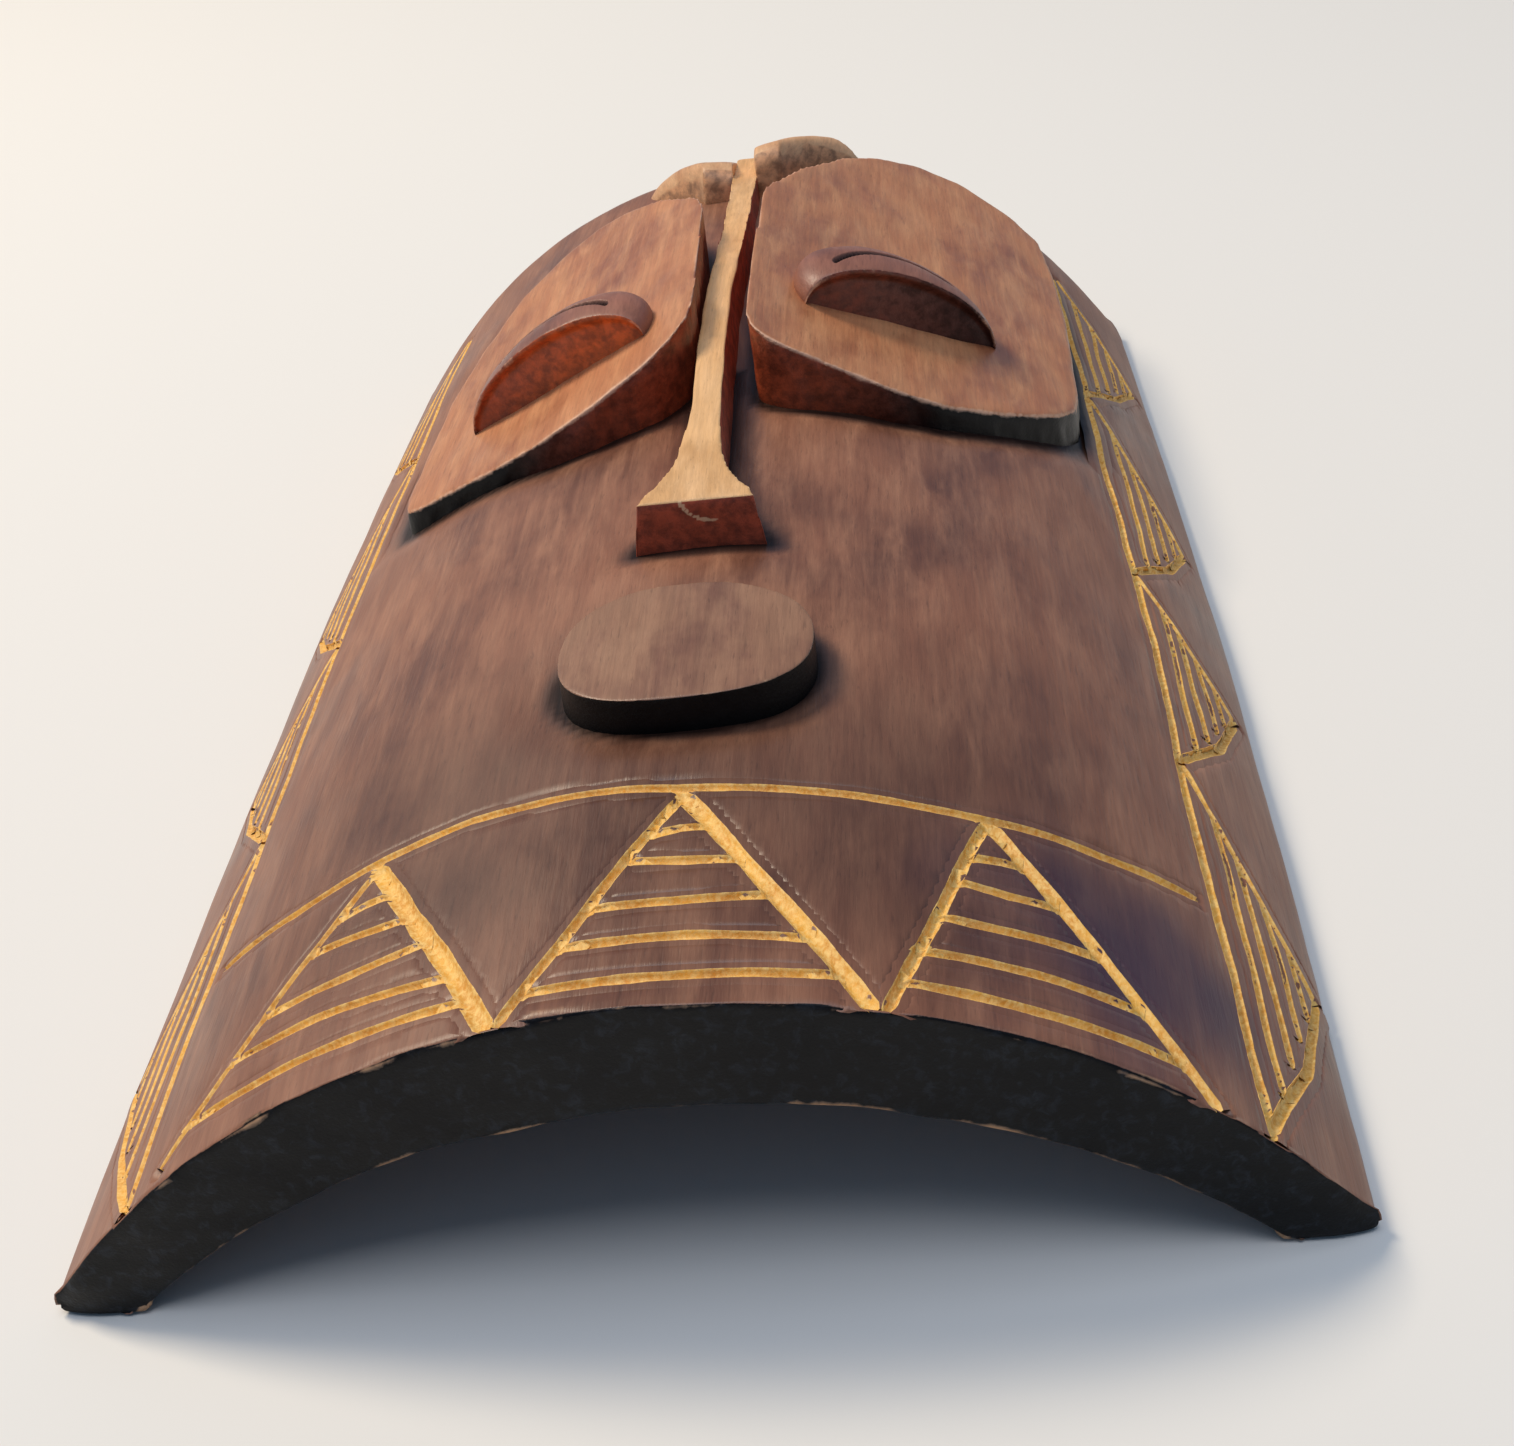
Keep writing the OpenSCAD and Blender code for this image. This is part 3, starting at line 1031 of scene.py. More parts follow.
def refine(bm: bmesh.types.BMesh, voxel: float, passes: int) -> bmesh.types.BMesh:
    """Turns a rough block into an even, softly rounded mesh.

    Args:
        bm: The block, in millimetres; it is used up.
        voxel: Size of the new faces, in millimetres.
        passes: How many times the surface is smoothed.

    Returns:
        The new mesh, in millimetres.
    """
    bmesh.ops.recalc_face_normals(bm, faces=bm.faces[:])
    mesh = bpy.data.meshes.new("block")
    bm.to_mesh(mesh)
    bm.free()
    holder = bpy.data.objects.new("block", mesh)
    bpy.context.scene.collection.objects.link(holder)
    worker = holder.modifiers.new("carve", "REMESH")
    worker.mode = "VOXEL"
    worker.voxel_size = voxel
    graph = bpy.context.evaluated_depsgraph_get()
    carved = bpy.data.meshes.new_from_object(holder.evaluated_get(graph))
    out = bmesh.new()
    out.from_mesh(carved)
    bpy.data.objects.remove(holder)
    bpy.data.meshes.remove(mesh)
    bpy.data.meshes.remove(carved)
    relax(out, out.verts[:], passes)
    return out


def weather(bm: bmesh.types.BMesh, scale: Sequence[float], depth: float, seed: float) -> None:
    """Moves vertices inward by smooth unevenness, as a knife leaves wood.

    Args:
        bm: The mesh, in millimetres.
        scale: Size of one lump along each axis.
        depth: Deepest move, in millimetres.
        seed: Shift of the pattern.
    """
    bm.normal_update()
    for v in bm.verts:
        v.co -= v.normal * depth * (0.5 + 0.5 * rough(v.co, scale, seed))


def prism(outline: Sequence[Point], corner: float, steps: int, top: Callable[[float, float], float],
          bottom: Callable[[float, float], float], draft: float) -> bmesh.types.BMesh:
    """Raises a block from a plan outline between two surfaces.

    Args:
        outline: Plan corners, in millimetres.
        corner: Rounding of the plan corners.
        steps: Steps in each rounded corner.
        top: Gives the block's upper height at (x, y).
        bottom: Gives its lower height at (x, y).
        draft: How much further out the foot stands than the top.

    Returns:
        The closed block.
    """
    bm = bmesh.new()
    face = bm.faces.new([bm.verts.new((x, y, 0.0)) for x, y in outline])
    if corner > 0:
        bmesh.ops.bevel(bm, geom=face.verts[:], offset=corner, segments=steps, profile=0.5,
                        affect="VERTICES", material=-1)
    base = bm.faces[:]
    raised = bmesh.ops.extrude_face_region(bm, geom=base)
    upper = [g for g in raised["geom"] if isinstance(g, bmesh.types.BMVert)]
    lower = [v for v in bm.verts if v not in set(upper)]
    bm.normal_update()
    middle = sum((v.co for v in lower), Vector()) / len(lower)
    for v in lower:
        away = Vector((v.co.x - middle.x, v.co.y - middle.y, 0.0))
        v.co += away.normalized() * draft
        v.co.z = bottom(v.co.x, v.co.y)
    for v in upper:
        v.co.z = top(v.co.x, v.co.y)
    return bm


@dataclass
class Shell:
    """The bowed shell with its hollow, rims and gouged borders."""

    lines: Linework
    across: int = 138
    along: int = 196
    through: int = 9
    tip_x: float = 90.0
    rim_round: float = 5.0
    fine_band: float = 3.2
    crown_passes: int = 14
    seam_band: tuple[float, float] = (2.4, 4.4)

    def slab(self) -> bmesh.types.BMesh:
        """Makes a closed slab whose coordinates are places on the shell.

        Returns:
            A mesh with x and y from -1 to 1, and z of 1 on the front and 0 in the hollow.
        """
        bm = bmesh.new()
        bmesh.ops.create_grid(bm, x_segments=self.across, y_segments=self.along, size=1.0)
        front = bm.faces[:]
        copy = bmesh.ops.duplicate(bm, geom=front)
        back = [g for g in copy["geom"] if isinstance(g, bmesh.types.BMFace)]
        bmesh.ops.reverse_faces(bm, faces=back)
        bmesh.ops.translate(bm, vec=(0.0, 0.0, 1.0), verts=list({v for f in front for v in f.verts}))
        loops = [e for e in bm.edges if e.is_boundary]
        bmesh.ops.bridge_loops(bm, edges=loops)
        posts = [e for e in bm.edges if abs(e.verts[0].co.z - e.verts[1].co.z) > 0.5]
        bmesh.ops.subdivide_edges(bm, edges=posts, cuts=self.through, use_grid_fill=True)
        return bm

    def warp(self, t: float) -> float:
        """Draws grid lines closer together toward both ends of their range."""
        return 0.86 * t + 0.14 * math.sin(t * math.pi / 2)

    def tracks(self, inner: bool) -> Callable[[float, float], Vector]:
        """Gives a function from a place on the slab to a point on a surface.

        Args:
            inner: Whether the hollow's surface is meant.

        Returns:
            A function of u from -1 to 1 and v from 0 to 1.
        """
        cache: dict[float, tuple[list[Vector], list[float]]] = {}

        def line(u: float) -> tuple[list[Vector], list[float]]:
            """Gives one traced line with its running length.

            Args:
                u: Place across, from -1 to 1.

            Returns:
                Its points, and the length up to each.
            """
            key = round(u, 5)
            if key not in cache:
                points = FORM.column(key, inner)
                runs = [0.0]
                for a, b in zip(points, points[1:]):
                    runs.append(runs[-1] + (b - a).length)
                cache[key] = (points, runs)
            return cache[key]

        def at(u: float, v: float) -> Vector:
            """Gives the point at a share v of the line's length.

            Args:
                u: Place across, from -1 to 1.
                v: Share of the length, from 0 to 1.

            Returns:
                The point, in millimetres.
            """
            points, runs = line(u)
            goal = v * runs[-1]
            low, high = 0, len(runs) - 1
            while high - low > 1:
                mid = (low + high) // 2
                if runs[mid] <= goal:
                    low = mid
                else:
                    high = mid
            span = runs[high] - runs[low]
            t = (goal - runs[low]) / span if span > 1e-9 else 0.0
            return points[low].lerp(points[high], t)

        return at

    def shape(self, bm: bmesh.types.BMesh) -> None:
        """Bends the slab into the shell, refining it under the gouged lines.

        Args:
            bm: The slab; changed in place.
        """
        outer, inner = self.tracks(False), self.tracks(True)
        depth = {v: v.co.z for v in bm.verts}
        spots = {v: (self.warp(v.co.x), (self.warp(v.co.y) + 1.0) / 2.0) for v in bm.verts}
        for v in bm.verts:
            u, t = spots[v]
            w = depth[v]
            a = outer(u, t) if w > 0 else None
            b = inner(u, t) if w < 1 else None
            v.co = a if b is None else b if a is None else b.lerp(a, w)
        band = {v for v in bm.verts if depth[v] == 1.0 and self.lines.clearance(v.co) < self.fine_band}
        edges = [e for e in bm.edges if e.verts[0] in band and e.verts[1] in band]
        bmesh.ops.subdivide_edges(bm, edges=edges, cuts=1, use_grid_fill=True)
        self.soften_crown(bm)
        self.round_rims(bm)
        bm.normal_update()
        self.carve(bm)
        # the fine mesh under the lines ends here, so its edge is smoothed
        near, far = self.seam_band
        seam = [v for v in bm.verts if v.co.z > 12.0 and v.co.y > 3.0 and self.is_front(v)
                and near < self.lines.clearance(v.co) < far]
        relax(bm, seam, 3)

    def soften_crown(self, bm: bmesh.types.BMesh) -> None:
        """Blends the front into the crown end and rounds their meeting.

        Args:
            bm: The shell.
        """
        for _ in range(self.crown_passes):
            near = [v for v in bm.verts if v.co.y > 325.0 and v.co.z > 6.0 and not v.is_boundary]
            relax(bm, near, 1)

    def round_rims(self, bm: bmesh.types.BMesh) -> None:
        """Rounds the rims and chin tips, then breaks the long sharp edges.

        Args:
            bm: The shell.
        """
        for v in bm.verts:
            away = Vector((v.co.x, max(0.0, v.co.y - FORM.crown_y), 0.0))
            outside = min(FORM.rim_x(min(v.co.y, 270.0), FORM.front_r, FORM.front_h), 104.0) - 12.0
            if v.co.y > 330.0:
                outside = FORM.crown_r - 14.0
            low = max(0.0, self.rim_round - v.co.z)
            if away.length > outside:
                v.co -= away.normalized() * 0.5 * low * low / self.rim_round
            far = max(0.0, abs(v.co.x) - self.tip_x)
            ease = 1.0 - smoothstep(0.0, 14.0, v.co.y)
            v.co.y += 0.022 * far * far * ease
        sharp = [e for e in bm.edges if len(e.link_faces) == 2
                 and e.calc_face_angle(0.0) > math.radians(38.0)]
        bmesh.ops.bevel(bm, geom=sharp, offset=0.75, segments=2, profile=0.5,
                        affect="EDGES", material=-1)

    def carve(self, bm: bmesh.types.BMesh) -> None:
        """Adds tool marks, the beds under the lines and the dips beside the plates.

        Args:
            bm: The shell.
        """
        moves = []
        for v in bm.verts:
            n = v.normal
            end = smoothstep(0.7, 0.95, -n.y) if v.co.y < 8.0 else 0.0
            if self.is_front(v):
                drop = FORM.worked(v.co) + 1.5 * (1.0 - smoothstep(0.3, 1.15, self.lines.clearance(v.co)))
                drop += 1.4 * (1.0 - smoothstep(0.0, 11.0, relief_gap(v.co)))
                moves.append(n * -drop)
            elif end > 0.3:
                saw = 0.25 * rough(v.co, (60.0, 9.0, 2.4), 5.0) + 0.3 * rough(v.co, (9.0, 9.0, 7.0), 2.0)
                moves.append(n * -(0.35 + saw))
            elif v.co.z > 0.8:
                scoop = rough(v.co, (11.0, 24.0, 11.0), 4.4) + 0.4 * rough(v.co, (5.0, 9.0, 5.0), 6.1)
                moves.append(n * -(0.5 + 0.5 * scoop))
            else:
                moves.append(Vector())
        for v, move in zip(bm.verts, moves):
            v.co += move
            v.co.z = max(v.co.z, 0.0)
            v.co.y = min(max(v.co.y, 0.0), MASK_LENGTH)

    def is_front(self, v: bmesh.types.BMVert) -> bool:
        """Tells whether a vertex is on the front, away from the chin's end face.

        Args:
            v: The vertex.

        Returns:
            True on the front.
        """
        co = v.co
        if co.y > 330.0:
            return co.z > 0.5 and v.normal.z > -0.15 and co.y + v.normal.y > FORM.crown_y
        return co.z > FORM.front(co.x, co.y) - 1.6 and v.normal.y > -0.6 and co.z > 0.4

    def dress(self, bm: bmesh.types.BMesh) -> None:
        """Marks the black end, the hollow, the cool patch, the worn edges, and the painted shade in corners
        with the darkening over the chin.

        Args:
            bm: The finished shell.
        """
        bm.normal_update()
        mark_wear(bm, 3.2, 1)
        rubbed = bm.verts.layers.float["wear"]
        for v in bm.verts:
            edge = max(1.0 - smoothstep(2.0, 5.0, v.co.y), 0.4 - 0.4 * smoothstep(2.0, 5.0, v.co.z))
            edge *= 1.0 - smoothstep(82.0, 92.0, abs(v.co.x))
            v[rubbed] *= edge * smoothstep(1.5, 2.5, self.lines.clearance(v.co))

        def ends(v: bmesh.types.BMVert) -> float:
            """Gives how far black paint covers a vertex.

            Args:
                v: The vertex.

            Returns:
                A cover from 0 to 1.
            """
            chin = smoothstep(0.45, 0.75, -v.normal.y) * (1.0 - smoothstep(4.0, 9.0, v.co.y))
            under = smoothstep(0.3, 0.7, -v.normal.z) * (1.0 - smoothstep(0.3, 2.5, v.co.z))
            return max(chin, under)

        def inside(v: bmesh.types.BMVert) -> float:
            """Gives 1 in the hollow and 0 on the front."""
            return smoothstep(-0.05, 0.25, -v.normal.z) * smoothstep(0.6, 2.0, v.co.z)

        mark(bm, "wall", ends)
        mark(bm, "inside", inside)
        mark(bm, "cool", lambda v: cool_at(v.co) * (1.0 - inside(v)))
        # painted shade in the corners, and the darkening over the chin
        mark(bm, "painted_shade_and_darkening", lambda v: painted_shade_and_darkening_at(v.co) * (1.0 - inside(v)))

    def build(self, finishes: Finishes) -> None:
        """Makes the shell.

        Args:
            finishes: The finishes of the mask.
        """
        bm = self.slab()
        self.shape(bm)
        self.dress(bm)
        Piece("mask_body", ("mask_shell",), Slot.STAINED, "shell").publish(bm, finishes)


@dataclass
class GougedLines:
    """The bare cuts of the borders, one piece for each group."""

    lines: Linework
    step: float = 1.2
    depth: float = 1.1
    trough: tuple[Point, ...] = (
        (-1.0, 0.0), (-0.84, -0.35), (-0.45, -0.8), (0.05, -1.0), (0.5, -0.7), (0.86, -0.25), (1.0, 0.0))
    lips: tuple[Point, ...] = ((0.16, 0.05), (0.5, 0.02), (1.05, 0.01), (1.9, -0.08), (3.1, -0.5))

    def columns(self) -> list[tuple[float, float, float]]:
        """Lists the trough's section as share of half width, extra reach and height.

        Returns:
            One entry for each line of vertices across the cut.
        """
        left = [(-1.0, -out, lift) for out, lift in reversed(self.lips)]
        middle = [(t, 0.0, sink) for t, sink in self.trough]
        right = [(1.0, out, lift) for out, lift in self.lips]
        return left + middle + right

    def liner(self, bm: bmesh.types.BMesh, stroke: Stroke) -> None:
        """Lays one cut's trough and lips along its path.

        Args:
            bm: The mesh that the trough joins.
            stroke: The cut.
        """
        path = stroke.path(self.step)
        section = self.columns()
        rows, cols = len(path) - 1, len(section) - 1
        made = bmesh.ops.create_grid(bm, x_segments=cols, y_segments=rows, size=1.0)
        layer = bm.verts.layers.float["cut"]
        total = rows * self.step
        for v in made["verts"]:
            i = round((v.co.x + 1.0) / 2.0 * cols)
            k = round((v.co.y + 1.0) / 2.0 * rows)
            here = path[k]
            ahead = (path[min(k + 1, rows)] - path[max(k - 1, 0)]).normalized()
            side = ahead.cross(FORM.normal(here.x, here.y)).normalized()
            run = k * self.step
            ease = min(1.0, 0.55 + run / 1.4, 0.55 + (total - run) / 1.4)
            wide = 1.0 + 0.22 * noise.noise(Vector((run / 6.0, stroke.seed, 2.0)))
            deep = 1.0 + 0.3 * noise.noise(Vector((run / 5.0, stroke.seed, 9.0)))
            burr = 0.12 * noise.noise(Vector((run / 1.4, stroke.seed, i * 1.3)))
            t, out, sink = section[i]
            spot = here + side * (t * stroke.width / 2.0 * wide * ease + out + burr)
            other = self.lines.crossing(spot, stroke)
            lift = sink * self.depth * deep * ease if out == 0.0 else sink
            lift = min(lift, -self.depth * other)
            v.co = on_front(spot.x, spot.y, lift)
            v[layer] = 1.0 if out == 0.0 or other > 0.03 else 0.0

    def build(self, finishes: Finishes) -> None:
        """Makes every group of cuts as its own piece.

        Args:
            finishes: The finishes of the mask.
        """
        for group, strokes in self.lines.groups.items():
            bm = bmesh.new()
            bm.verts.layers.float.new("cut")
            for stroke in strokes:
                self.liner(bm, stroke)
            bm.normal_update()
            flipped = [f for f in bm.faces if f.normal.z < 0]
            bmesh.ops.reverse_faces(bm, faces=flipped)
            for v in bm.verts:
                v.co.y = max(v.co.y, 0.0)
                v.co.z = max(v.co.z, 0.0)
            mark(bm, "cool", lambda v: cool_at(v.co))
            # painted shade in the corners, and the darkening over the chin
            mark(bm, "painted_shade_and_darkening", lambda v: painted_shade_and_darkening_at(v.co))
            Piece(f"{group}_cuts", (group,), Slot.GOUGED, "gouged").publish(bm, finishes)


@dataclass
class Eye:
    """One eye plate with its closed lid."""

    side: int
    lid_x: float
    lid_y: float
    lid_turn: float
    seed: float
    outline: tuple[Point, ...]
    top: float
    slope: float = math.tan(math.radians(27.9))
    inner: float = 7.5
    thick: float = 17.4
    ceiling: float = 72.9
    dome: tuple[float, float, float] = (25.6, 21.0, 12.1)
    cut_back: float = 5.0
    lid_lean: float = 0.15
    slit_r: float = 32.0
    slit_y: float = -22.5
    slit_half: float = 15.0
    slit_shift: float = -1.0

    def plane(self, x: float, y: float) -> float:
        """Gives the height of the plate's sloping face at x; y has no effect."""
        return min(self.top - (abs(x) - self.inner) * self.slope, self.ceiling)

    def plate(self) -> bmesh.types.BMesh:
        """Carves the plate.

        Returns:
            The finished mesh.
        """
        fall = self.thick / math.cos(math.atan(self.slope))
        bm = prism(self.outline, 1.6, 3, self.plane, lambda x, y: self.plane(x, y) - fall + 0.4, 0.0)
        bm = refine(bm, 0.7, 11)
        for v in bm.verts:
            hollow = self.plane(v.co.x, v.co.y) - v.co.z
            if hollow < 3.0:
                broad = rough(v.co, (22.0, 40.0, 60.0), self.seed)
                dish = 0.7 * math.exp(-(((abs(v.co.x) - 44.0) / 26.0) ** 2 + ((v.co.y - 270.0) / 60.0) ** 2))
                v.co.z -= 0.25 + 0.3 * broad + dish
        weather(bm, (7.0, 12.0, 7.0), 0.35, self.seed + 1.0)
        self.chisel_walls(bm)
        self.dress(bm, (self.side * math.sin(math.atan(self.slope)), 0.0, math.cos(math.atan(self.slope))))
        return bm

    def chisel_walls(self, bm: bmesh.types.BMesh) -> None:
        """Leaves upright chisel facets on the plate's cut walls.

        Args:
            bm: The plate.
        """
        bm.normal_update()
        for v in bm.verts:
            wall = 1.0 - smoothstep(0.3, 0.7, v.normal.z)
            facet = rough(v.co, (5.5, 5.5, 40.0), self.seed + 4.0)
            nick = rough(v.co, (2.2, 2.2, 6.0), self.seed + 5.0)
            flat = Vector((v.normal.x, v.normal.y, 0.0))
            below = smoothstep(1.5, 5.0, self.plane(v.co.x, v.co.y) - v.co.z)
            v.co -= flat * wall * (0.3 + below * (0.5 * facet + 0.2 * nick))

    def dress(self, bm: bmesh.types.BMesh, up: Point) -> None:
        """Marks cut walls and worn edges.

        Args:
            bm: The mesh.
            up: Direction that the open face looks in.
        """
        bm.normal_update()
        look = Vector(up)
        mark_wear(bm, 4.4, 3)
        mark(bm, "wall", lambda v: 1.0 - smoothstep(0.35, 0.75, v.normal.dot(look)))

    def lid(self) -> bmesh.types.BMesh:
        """Carves the closed lid: a dome with a cut front and a fine slit.

        Returns:
            The finished mesh.
        """
        wide, deep, rise = self.dome
        bm = bmesh.new()
        bmesh.ops.create_uvsphere(bm, u_segments=96, v_segments=64, radius=1.0)
        bmesh.ops.scale(bm, vec=self.dome, verts=bm.verts[:])
        bmesh.ops.translate(bm, vec=(0.0, self.cut_back, 0.0), verts=bm.verts[:])
        for point, normal in (((0, 0, -1.5), (0, 0, -1)), ((0, 0, 0), (0, -1, 0))):
            bmesh.ops.bisect_plane(bm, geom=bm.verts[:] + bm.edges[:] + bm.faces[:], plane_co=point,
                                   plane_no=normal, clear_outer=True)
            rim = [e for e in bm.edges if e.is_boundary]
            bmesh.ops.holes_fill(bm, edges=rim, sides=0)
        bm = refine(bm, 0.42, 2)
        for v in bm.verts:
            if v.co.y > 2.0:
                v.co.z -= 1.6 * (1.0 - smoothstep(0.3, 1.1, self.slit_distance(v)))
            else:
                share = 1.0 - (v.co.x / wide) ** 2 - (self.cut_back / deep) ** 2
                edge = rise * math.sqrt(max(share, 0.0))
                inside = smoothstep(0.9, 3.0, edge - v.co.z) * (1.0 - smoothstep(0.4, 1.2, v.co.y))
                v.co.y += 1.3 * inside
        weather(bm, (6.0, 6.0, 6.0), 0.3, self.seed + 7.0)
        bm.normal_update()
        mark_wear(bm, 3.4, 3)
        mark(bm, "wall", lambda v: smoothstep(0.35, 0.8, -v.normal.y) if v.co.y < 3.0 else 0.0)
        # the dark line in the slit is painted shade
        mark(bm, "painted_shade_and_darkening", self.slit_shade)
        rubbed = bm.verts.layers.float["wear"]
        for v in bm.verts:
            if v.co.y > 2.0:
                v[rubbed] *= smoothstep(1.1, 2.6, self.slit_distance(v))
        bmesh.ops.transform(bm, matrix=self.seat(), verts=bm.verts[:])
        if self.side < 0:
            bmesh.ops.scale(bm, vec=(-1.0, 1.0, 1.0), verts=bm.verts[:])
            bmesh.ops.reverse_faces(bm, faces=bm.faces[:])
        return bm

    def seat(self) -> Matrix:
        """Gives the move from the lid's own axes to its seat on the plate.

        Returns:
            The matrix, for the lid on the right.
        """
        turn = math.radians(self.lid_turn)
        tilt = Matrix.Rotation(math.atan(self.slope), 3, "Y")
        across = tilt @ Vector((math.cos(turn), math.sin(turn), 0.0))
        along = tilt @ Vector((-math.sin(turn), math.cos(turn), 0.0))
        up = Vector((self.lid_lean, 0.0, 1.0)).normalized()
        axes = Matrix((across, along, up)).transposed().to_4x4()
        return Matrix.Translation((self.lid_x, self.lid_y, self.plane(self.lid_x, 0.0))) @ axes

    def slit_distance(self, v: bmesh.types.BMVert) -> float:
        """Gives how far a vertex of the unplaced lid is from the slit's middle.

        Args:
            v: The vertex.

        Returns:
            The distance, in millimetres.
        """
        ring = abs(math.hypot(v.co.x, v.co.y - self.slit_y) - self.slit_r)
        past = max(0.0, abs(v.co.x - self.slit_shift) - self.slit_half)
        return math.hypot(ring, past)

    def slit_shade(self, v: bmesh.types.BMVert) -> float:
        """Gives the painted shade in the slit, a dark line along it."""
        return 1.0 - smoothstep(0.7, 1.2, self.slit_distance(v)) if v.co.y > 2.0 else 0.0

    def build(self, finishes: Finishes) -> None:
        """Makes the plate and the lid.

        Args:
            finishes: The finishes of the mask.
        """
        name = side_name(self.side)
        plate = Piece(f"carved_eye_plate_{name}", (f"eye_plate_{name}",), Slot.PLATE, "plate")
        plate.publish(self.plate(), finishes)
        # the right lid's cut front takes the copy painted darker as shade
        finish = "lid_painted_shade" if self.side > 0 else "lid"
        lid = Piece(f"carved_eyelid_{name}", (f"eyelid_{name}",), Slot.PLATE, finish)
        lid.publish(self.lid(), finishes)


@dataclass
class Nose:
    """The long nose ridge with its flared, flat-cut tip."""

    top: float = 65.4
    foot: float = 50.0
    right_side: tuple[Point, ...] = (
        (11.0, 131.2), (10.2, 134.0), (7.6, 138.0), (5.7, 143.0), (4.5, 150.0), (3.6, 162.0),
        (3.1, 180.0), (3.2, 215.0), (3.0, 260.0), (3.2, 310.0), (3.3, 368.8))

    def crown(self, x: float, y: float) -> float:
        """Gives the height of the ridge's flat top along its length.

        Args:
            x: Distance across the face, which has no effect.
            y: Distance from the chin end.

        Returns:
            The height above the rim.
        """
        tip = smoothstep(131.0, 137.0, y)
        fall = 0.32 * max(0.0, y - 347.0)
        return self.top - 1.2 * (1.0 - tip) + 0.25 * math.sin(y / 31.0) - 0.25 - fall

    def sway(self, y: float) -> float:
        """Gives how far the ridge wanders from the middle at y."""
        return 0.6 * smoothstep(230.0, 300.0, y) - 0.7 * smoothstep(160.0, 225.0, y) * (
            1.0 - smoothstep(225.0, 290.0, y))

    def build(self, finishes: Finishes) -> None:
        """Makes the nose ridge.

        Args:
            finishes: The finishes of the mask.
        """
        left = [(-x, y) for x, y in reversed(self.right_side)]
        bm = prism(list(self.right_side) + left, 0.0, 1, self.crown, lambda x, y: self.foot, 1.2)
        bm = refine(bm, 0.6, 2)
        for v in bm.verts:
            down = max(0.0, self.top - v.co.z)
            if v.co.y < 134.0:
                v.co.y = max(131.0, v.co.y - 0.02 * down)
            v.co.x *= 1.0 + 0.012 * down
            v.co.x += self.sway(v.co.y) + 0.3 * rough(v.co, (9.0, 16.0, 30.0), 5.5)
        weather(bm, (3.0, 9.0, 5.0), 0.35, 2.2)
        bm.normal_update()
        mark_wear(bm, 3.0, 2)
        self.scratch(bm)
        mark(bm, "wall", lambda v: 1.0 - smoothstep(0.25, 0.6, v.normal.z))
        Piece("carved_nose_ridge", ("nose_ridge",), Slot.PALE, "nose").publish(bm, finishes)

    def scratch(self, bm: bmesh.types.BMesh) -> None:
        """Bares a thin curved scratch on the tip's end face.

        Args:
            bm: The nose.
        """
        rubbed = bm.verts.layers.float["wear"]
        for v in bm.verts:
            if v.co.y > 133.0 or v.normal.y > -0.5:
                continue
            ring = abs(math.hypot(v.co.x - 3.0, v.co.z - 65.5) - 6.2)
            along = smoothstep(-4.5, -2.5, v.co.x) * (1.0 - smoothstep(3.0, 5.0, v.co.x))
            v[rubbed] = max(v[rubbed] * 0.4, 0.8 * along * (1.0 - smoothstep(0.2, 0.6, ring)))


@dataclass
class Mouth:
    """The oval mouth plate with its worn lip."""

    y: float = 87.0
    half_w: float = 21.9
    half_l: float = 18.9
    rise: float = 5.4
    base: float = 48.0
    block: float = 20.0
    squareness: float = 2.35

    def build(self, finishes: Finishes) -> None:
        """Makes the mouth plate.

        Args:
            finishes: The finishes of the mask.
        """
        bm = bmesh.new()
        bmesh.ops.create_circle(bm, cap_ends=True, segments=96, radius=1.0)
        for v in bm.verts:
            angle = math.atan2(v.co.y, v.co.x)
            c, s = math.cos(angle), math.sin(angle)
            reach = (abs(c) ** self.squareness + abs(s) ** self.squareness) ** (-1.0 / self.squareness)
            reach *= 1.0 + 0.012 * math.sin(3 * angle + 1.0)
            v.co = Vector((self.half_w * c * reach, self.y + self.half_l * s * reach, self.base))
        raised = bmesh.ops.extrude_face_region(bm, geom=bm.faces[:])
        upper = [g for g in raised["geom"] if isinstance(g, bmesh.types.BMVert)]
        bmesh.ops.translate(bm, vec=(0.0, 0.0, self.block), verts=upper)
        bm = refine(bm, 0.6, 1)
        for v in bm.verts:
            height = v.co.z - self.base
            face = FORM.front(v.co.x, v.co.y)
            v.co.z = face - 3.0 + (self.rise + 2.6) * height / self.block
        relax(bm, bm.verts[:], 2)
        weather(bm, (9.0, 9.0, 9.0), 0.4, 7.7)
        bm.normal_update()
        mark_wear(bm, 3.6, 2)
        mark(bm, "wall", lambda v: 1.0 - smoothstep(0.3, 0.65, v.normal.dot(FORM.normal(v.co.x, v.co.y))))
        Piece("carved_mouth", ("mouth_plate",), Slot.STAINED, "mouth").publish(bm, finishes)


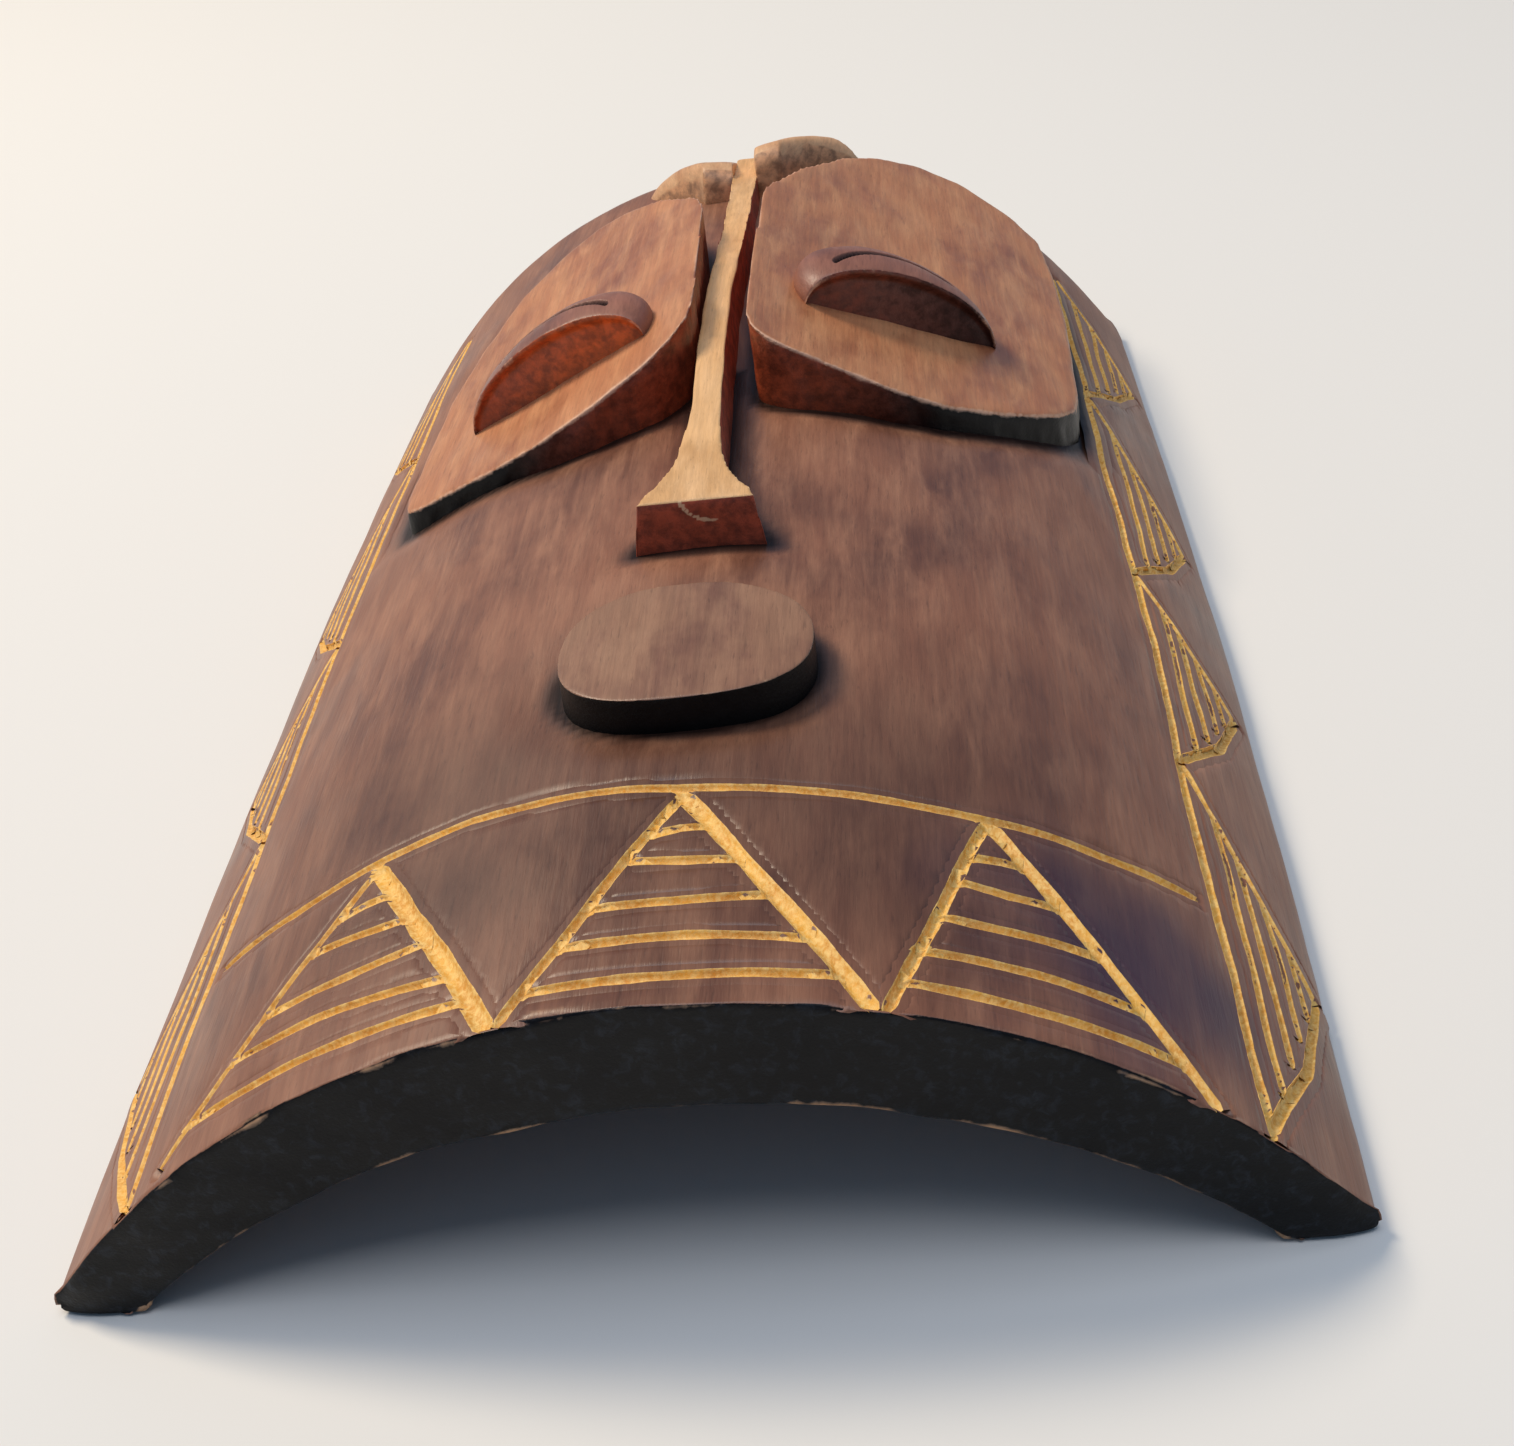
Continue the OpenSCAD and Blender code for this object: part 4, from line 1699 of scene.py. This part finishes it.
@dataclass
class Crest:
    """One lobe of the crest over the brow."""

    side: int
    middle: float
    height: float
    seed: float
    inner: float
    radius: float = 22.0
    outer: float = 36.0
    seat: float = 43.0
    fall: float = 0.3
    front_round: float = 9.0
    front_drop: float = 11.0
    inward: float = 0.68

    def front_y(self, x: float) -> float:
        """Gives where the lobe's front stands, behind the plate's top edge."""
        reach = 55.0 * 55.0 - (58.0 - x) ** 2
        return max(341.5, 313.5 + math.sqrt(max(reach, 0.0)))

    def build(self, finishes: Finishes) -> None:
        """Makes the lobe.

        Args:
            finishes: The finishes of the mask.
        """
        last = self.middle + math.sqrt(self.radius ** 2 - (self.height - 49.0) ** 2)
        last = min(last, self.outer)
        bm = bmesh.new()
        bmesh.ops.create_grid(bm, x_segments=40, y_segments=36, size=1.0)
        for v in bm.verts:
            x = self.inner + (last - self.inner) * (v.co.x + 1.0) / 2.0
            front = self.front_y(x)
            back = 286.0 + math.sqrt(86.0 * 86.0 - x * x) - 0.4
            y = front + max(back - front, 0.4) * (v.co.y + 1.0) / 2.0
            lean = (x - self.middle) * (self.inward if x < self.middle else 1.0)
            z = self.height + math.sqrt(max(self.radius ** 2 - lean ** 2, 0.0))
            ahead = max(0.0, 1.0 - (y - front) / self.front_round)
            z -= self.fall * (y - 345.0) + self.front_drop * (1.0 - math.sqrt(max(1.0 - ahead ** 2, 0.0)))
            v.co = Vector((self.side * x, y, z))
        raised = bmesh.ops.extrude_face_region(bm, geom=bm.faces[:])
        for g in raised["geom"]:
            if isinstance(g, bmesh.types.BMVert):
                g.co.z = self.seat
        bm = refine(bm, 0.6, 3)
        weather(bm, (6.0, 6.0, 6.0), 0.5, self.seed)
        bm.normal_update()
        mark_wear(bm, 3.0, 2)
        mark(bm, "wall", lambda v: smoothstep(0.3, 0.7, -v.normal.y))
        name = side_name(self.side)
        Piece(f"carved_crest_{name}", (f"crest_{name}",), Slot.CREST, "crest").publish(bm, finishes)


@dataclass
class Hanger:
    """The strap hanger on the hidden side, kept as the frame has it."""

    def build(self, finishes: Finishes) -> None:
        """Dresses the strap, ring and screws.

        Args:
            finishes: The finishes of the mask.
        """
        for node, finish in (("hanger_strap", "steel"), ("hanger_ring", "steel"),
                             ("hanger_screws", "brass")):
            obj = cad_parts[node]
            obj.data.materials.clear()
            obj.data.materials.append(finishes.get(finish))
            LOG.info("%s: %s", node, finish)


@dataclass
class Studio:
    """Pale floor, soft lights and the camera."""

    floor_colour: str = "e3e0d8"
    camera_mm: tuple[float, float, float] = (43.369, -219.719, 225.032)
    yaw: float = -6.13667
    pitch: float = 30.77993
    roll: float = -8.13995
    lens: float = 49.92

    def floor(self) -> None:
        """Makes the plain pale floor."""
        bm = bmesh.new()
        bmesh.ops.create_grid(bm, x_segments=1, y_segments=1, size=6.0)
        mesh = bpy.data.meshes.new("floor")
        bmesh.ops.translate(bm, vec=(0.0, 0.0, -0.0006), verts=bm.verts[:])
        bm.to_mesh(mesh)
        bm.free()
        material = bpy.data.materials.new("matt pale floor")
        material.use_nodes = True
        shader = material.node_tree.nodes["Principled BSDF"]
        shader.inputs["Base Color"].default_value = linear(self.floor_colour)
        shader.inputs["Roughness"].default_value = 0.9
        mesh.materials.append(material)
        obj = bpy.data.objects.new("floor", mesh)
        bpy.context.scene.collection.objects.link(obj)

    def lamp(self, name: str, at: Sequence[float], size: float, power: float, colour: str) -> None:
        """Hangs one soft square lamp aimed at the mask.

        Args:
            name: The lamp's name.
            at: Its place, in metres.
            size: Length of its side, in metres.
            power: Its power, in watts.
            colour: Its colour, as hex.
        """
        data = bpy.data.lights.new(name, "AREA")
        data.size = size
        data.energy = power
        data.color = linear(colour)[:3]
        lamp = bpy.data.objects.new(name, data)
        lamp.location = at
        aim = Vector((0.0, 0.0, 0.03)) - Vector(at)
        lamp.rotation_euler = aim.to_track_quat("-Z", "Y").to_euler()
        bpy.context.scene.collection.objects.link(lamp)

    def lights(self) -> None:
        """Lights the mask from behind on the left, with cool fill."""
        self.lamp("key", (-1.5, 0.8, 2.2), 0.8, 64.0, "ffeed6")
        self.lamp("sky", (0.1, -0.5, 2.5), 1.8, 29.0, "eef2ff")
        world = bpy.data.worlds.new("soft room")
        bpy.context.scene.view_settings.view_transform = "Standard"
        world.use_nodes = True
        ground = world.node_tree.nodes["Background"]
        ground.inputs["Color"].default_value = linear("9cc0ea")
        ground.inputs["Strength"].default_value = 0.34
        bpy.context.scene.world = world

    def camera(self) -> None:
        """Sets the camera at the viewing angle."""
        yaw, pitch, roll = (math.radians(a) for a in (self.yaw, self.pitch, self.roll))
        ahead = Vector((math.sin(yaw) * math.cos(pitch), math.cos(yaw) * math.cos(pitch), -math.sin(pitch)))
        right = Vector((math.cos(yaw), -math.sin(yaw), 0.0))
        up = right.cross(ahead)
        turned = right * math.cos(roll) + up * math.sin(roll)
        above = up * math.cos(roll) - right * math.sin(roll)
        basis = Matrix((turned, above, -ahead)).transposed().to_4x4()
        data = bpy.data.cameras.new("camera")
        data.sensor_fit = "HORIZONTAL"
        data.sensor_width = 36.0
        data.lens = self.lens
        data.clip_start = 0.01
        obj = bpy.data.objects.new("camera", data)
        obj.matrix_world = Matrix.Translation(place(*self.camera_mm)) @ basis
        bpy.context.scene.collection.objects.link(obj)
        bpy.context.scene.camera = obj

    def build(self) -> None:
        """Sets up the whole stage."""
        self.floor()
        self.lights()
        self.camera()


def main() -> None:
    """Builds the stage and every piece of the mask, in order."""
    logging.basicConfig(level=logging.INFO, format="%(name)s: %(message)s")
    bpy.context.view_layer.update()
    finishes = Finishes()
    lines = Linework()
    lines.chin()
    lines.sides()
    lines.index()
    Studio().build()
    Shell(lines).build(finishes)
    GougedLines(lines).build(finishes)
    Eye(side=1, lid_x=40.5, lid_y=231.0, lid_turn=20.0, seed=3.3,
        outline=RIGHT_PLATE, top=73.0).build(finishes)
    Eye(side=-1, lid_x=37.0, lid_y=215.0, lid_turn=11.0, seed=9.1,
        outline=LEFT_PLATE, top=71.6).build(finishes)
    Nose().build(finishes)
    Mouth().build(finishes)
    Crest(side=1, middle=17.0, height=47.4, seed=1.3, inner=3.4).build(finishes)
    Crest(side=-1, middle=12.0, height=43.0, seed=6.4, inner=2.3).build(finishes)
    Hanger().build(finishes)


if __name__ == "__main__":
    main()
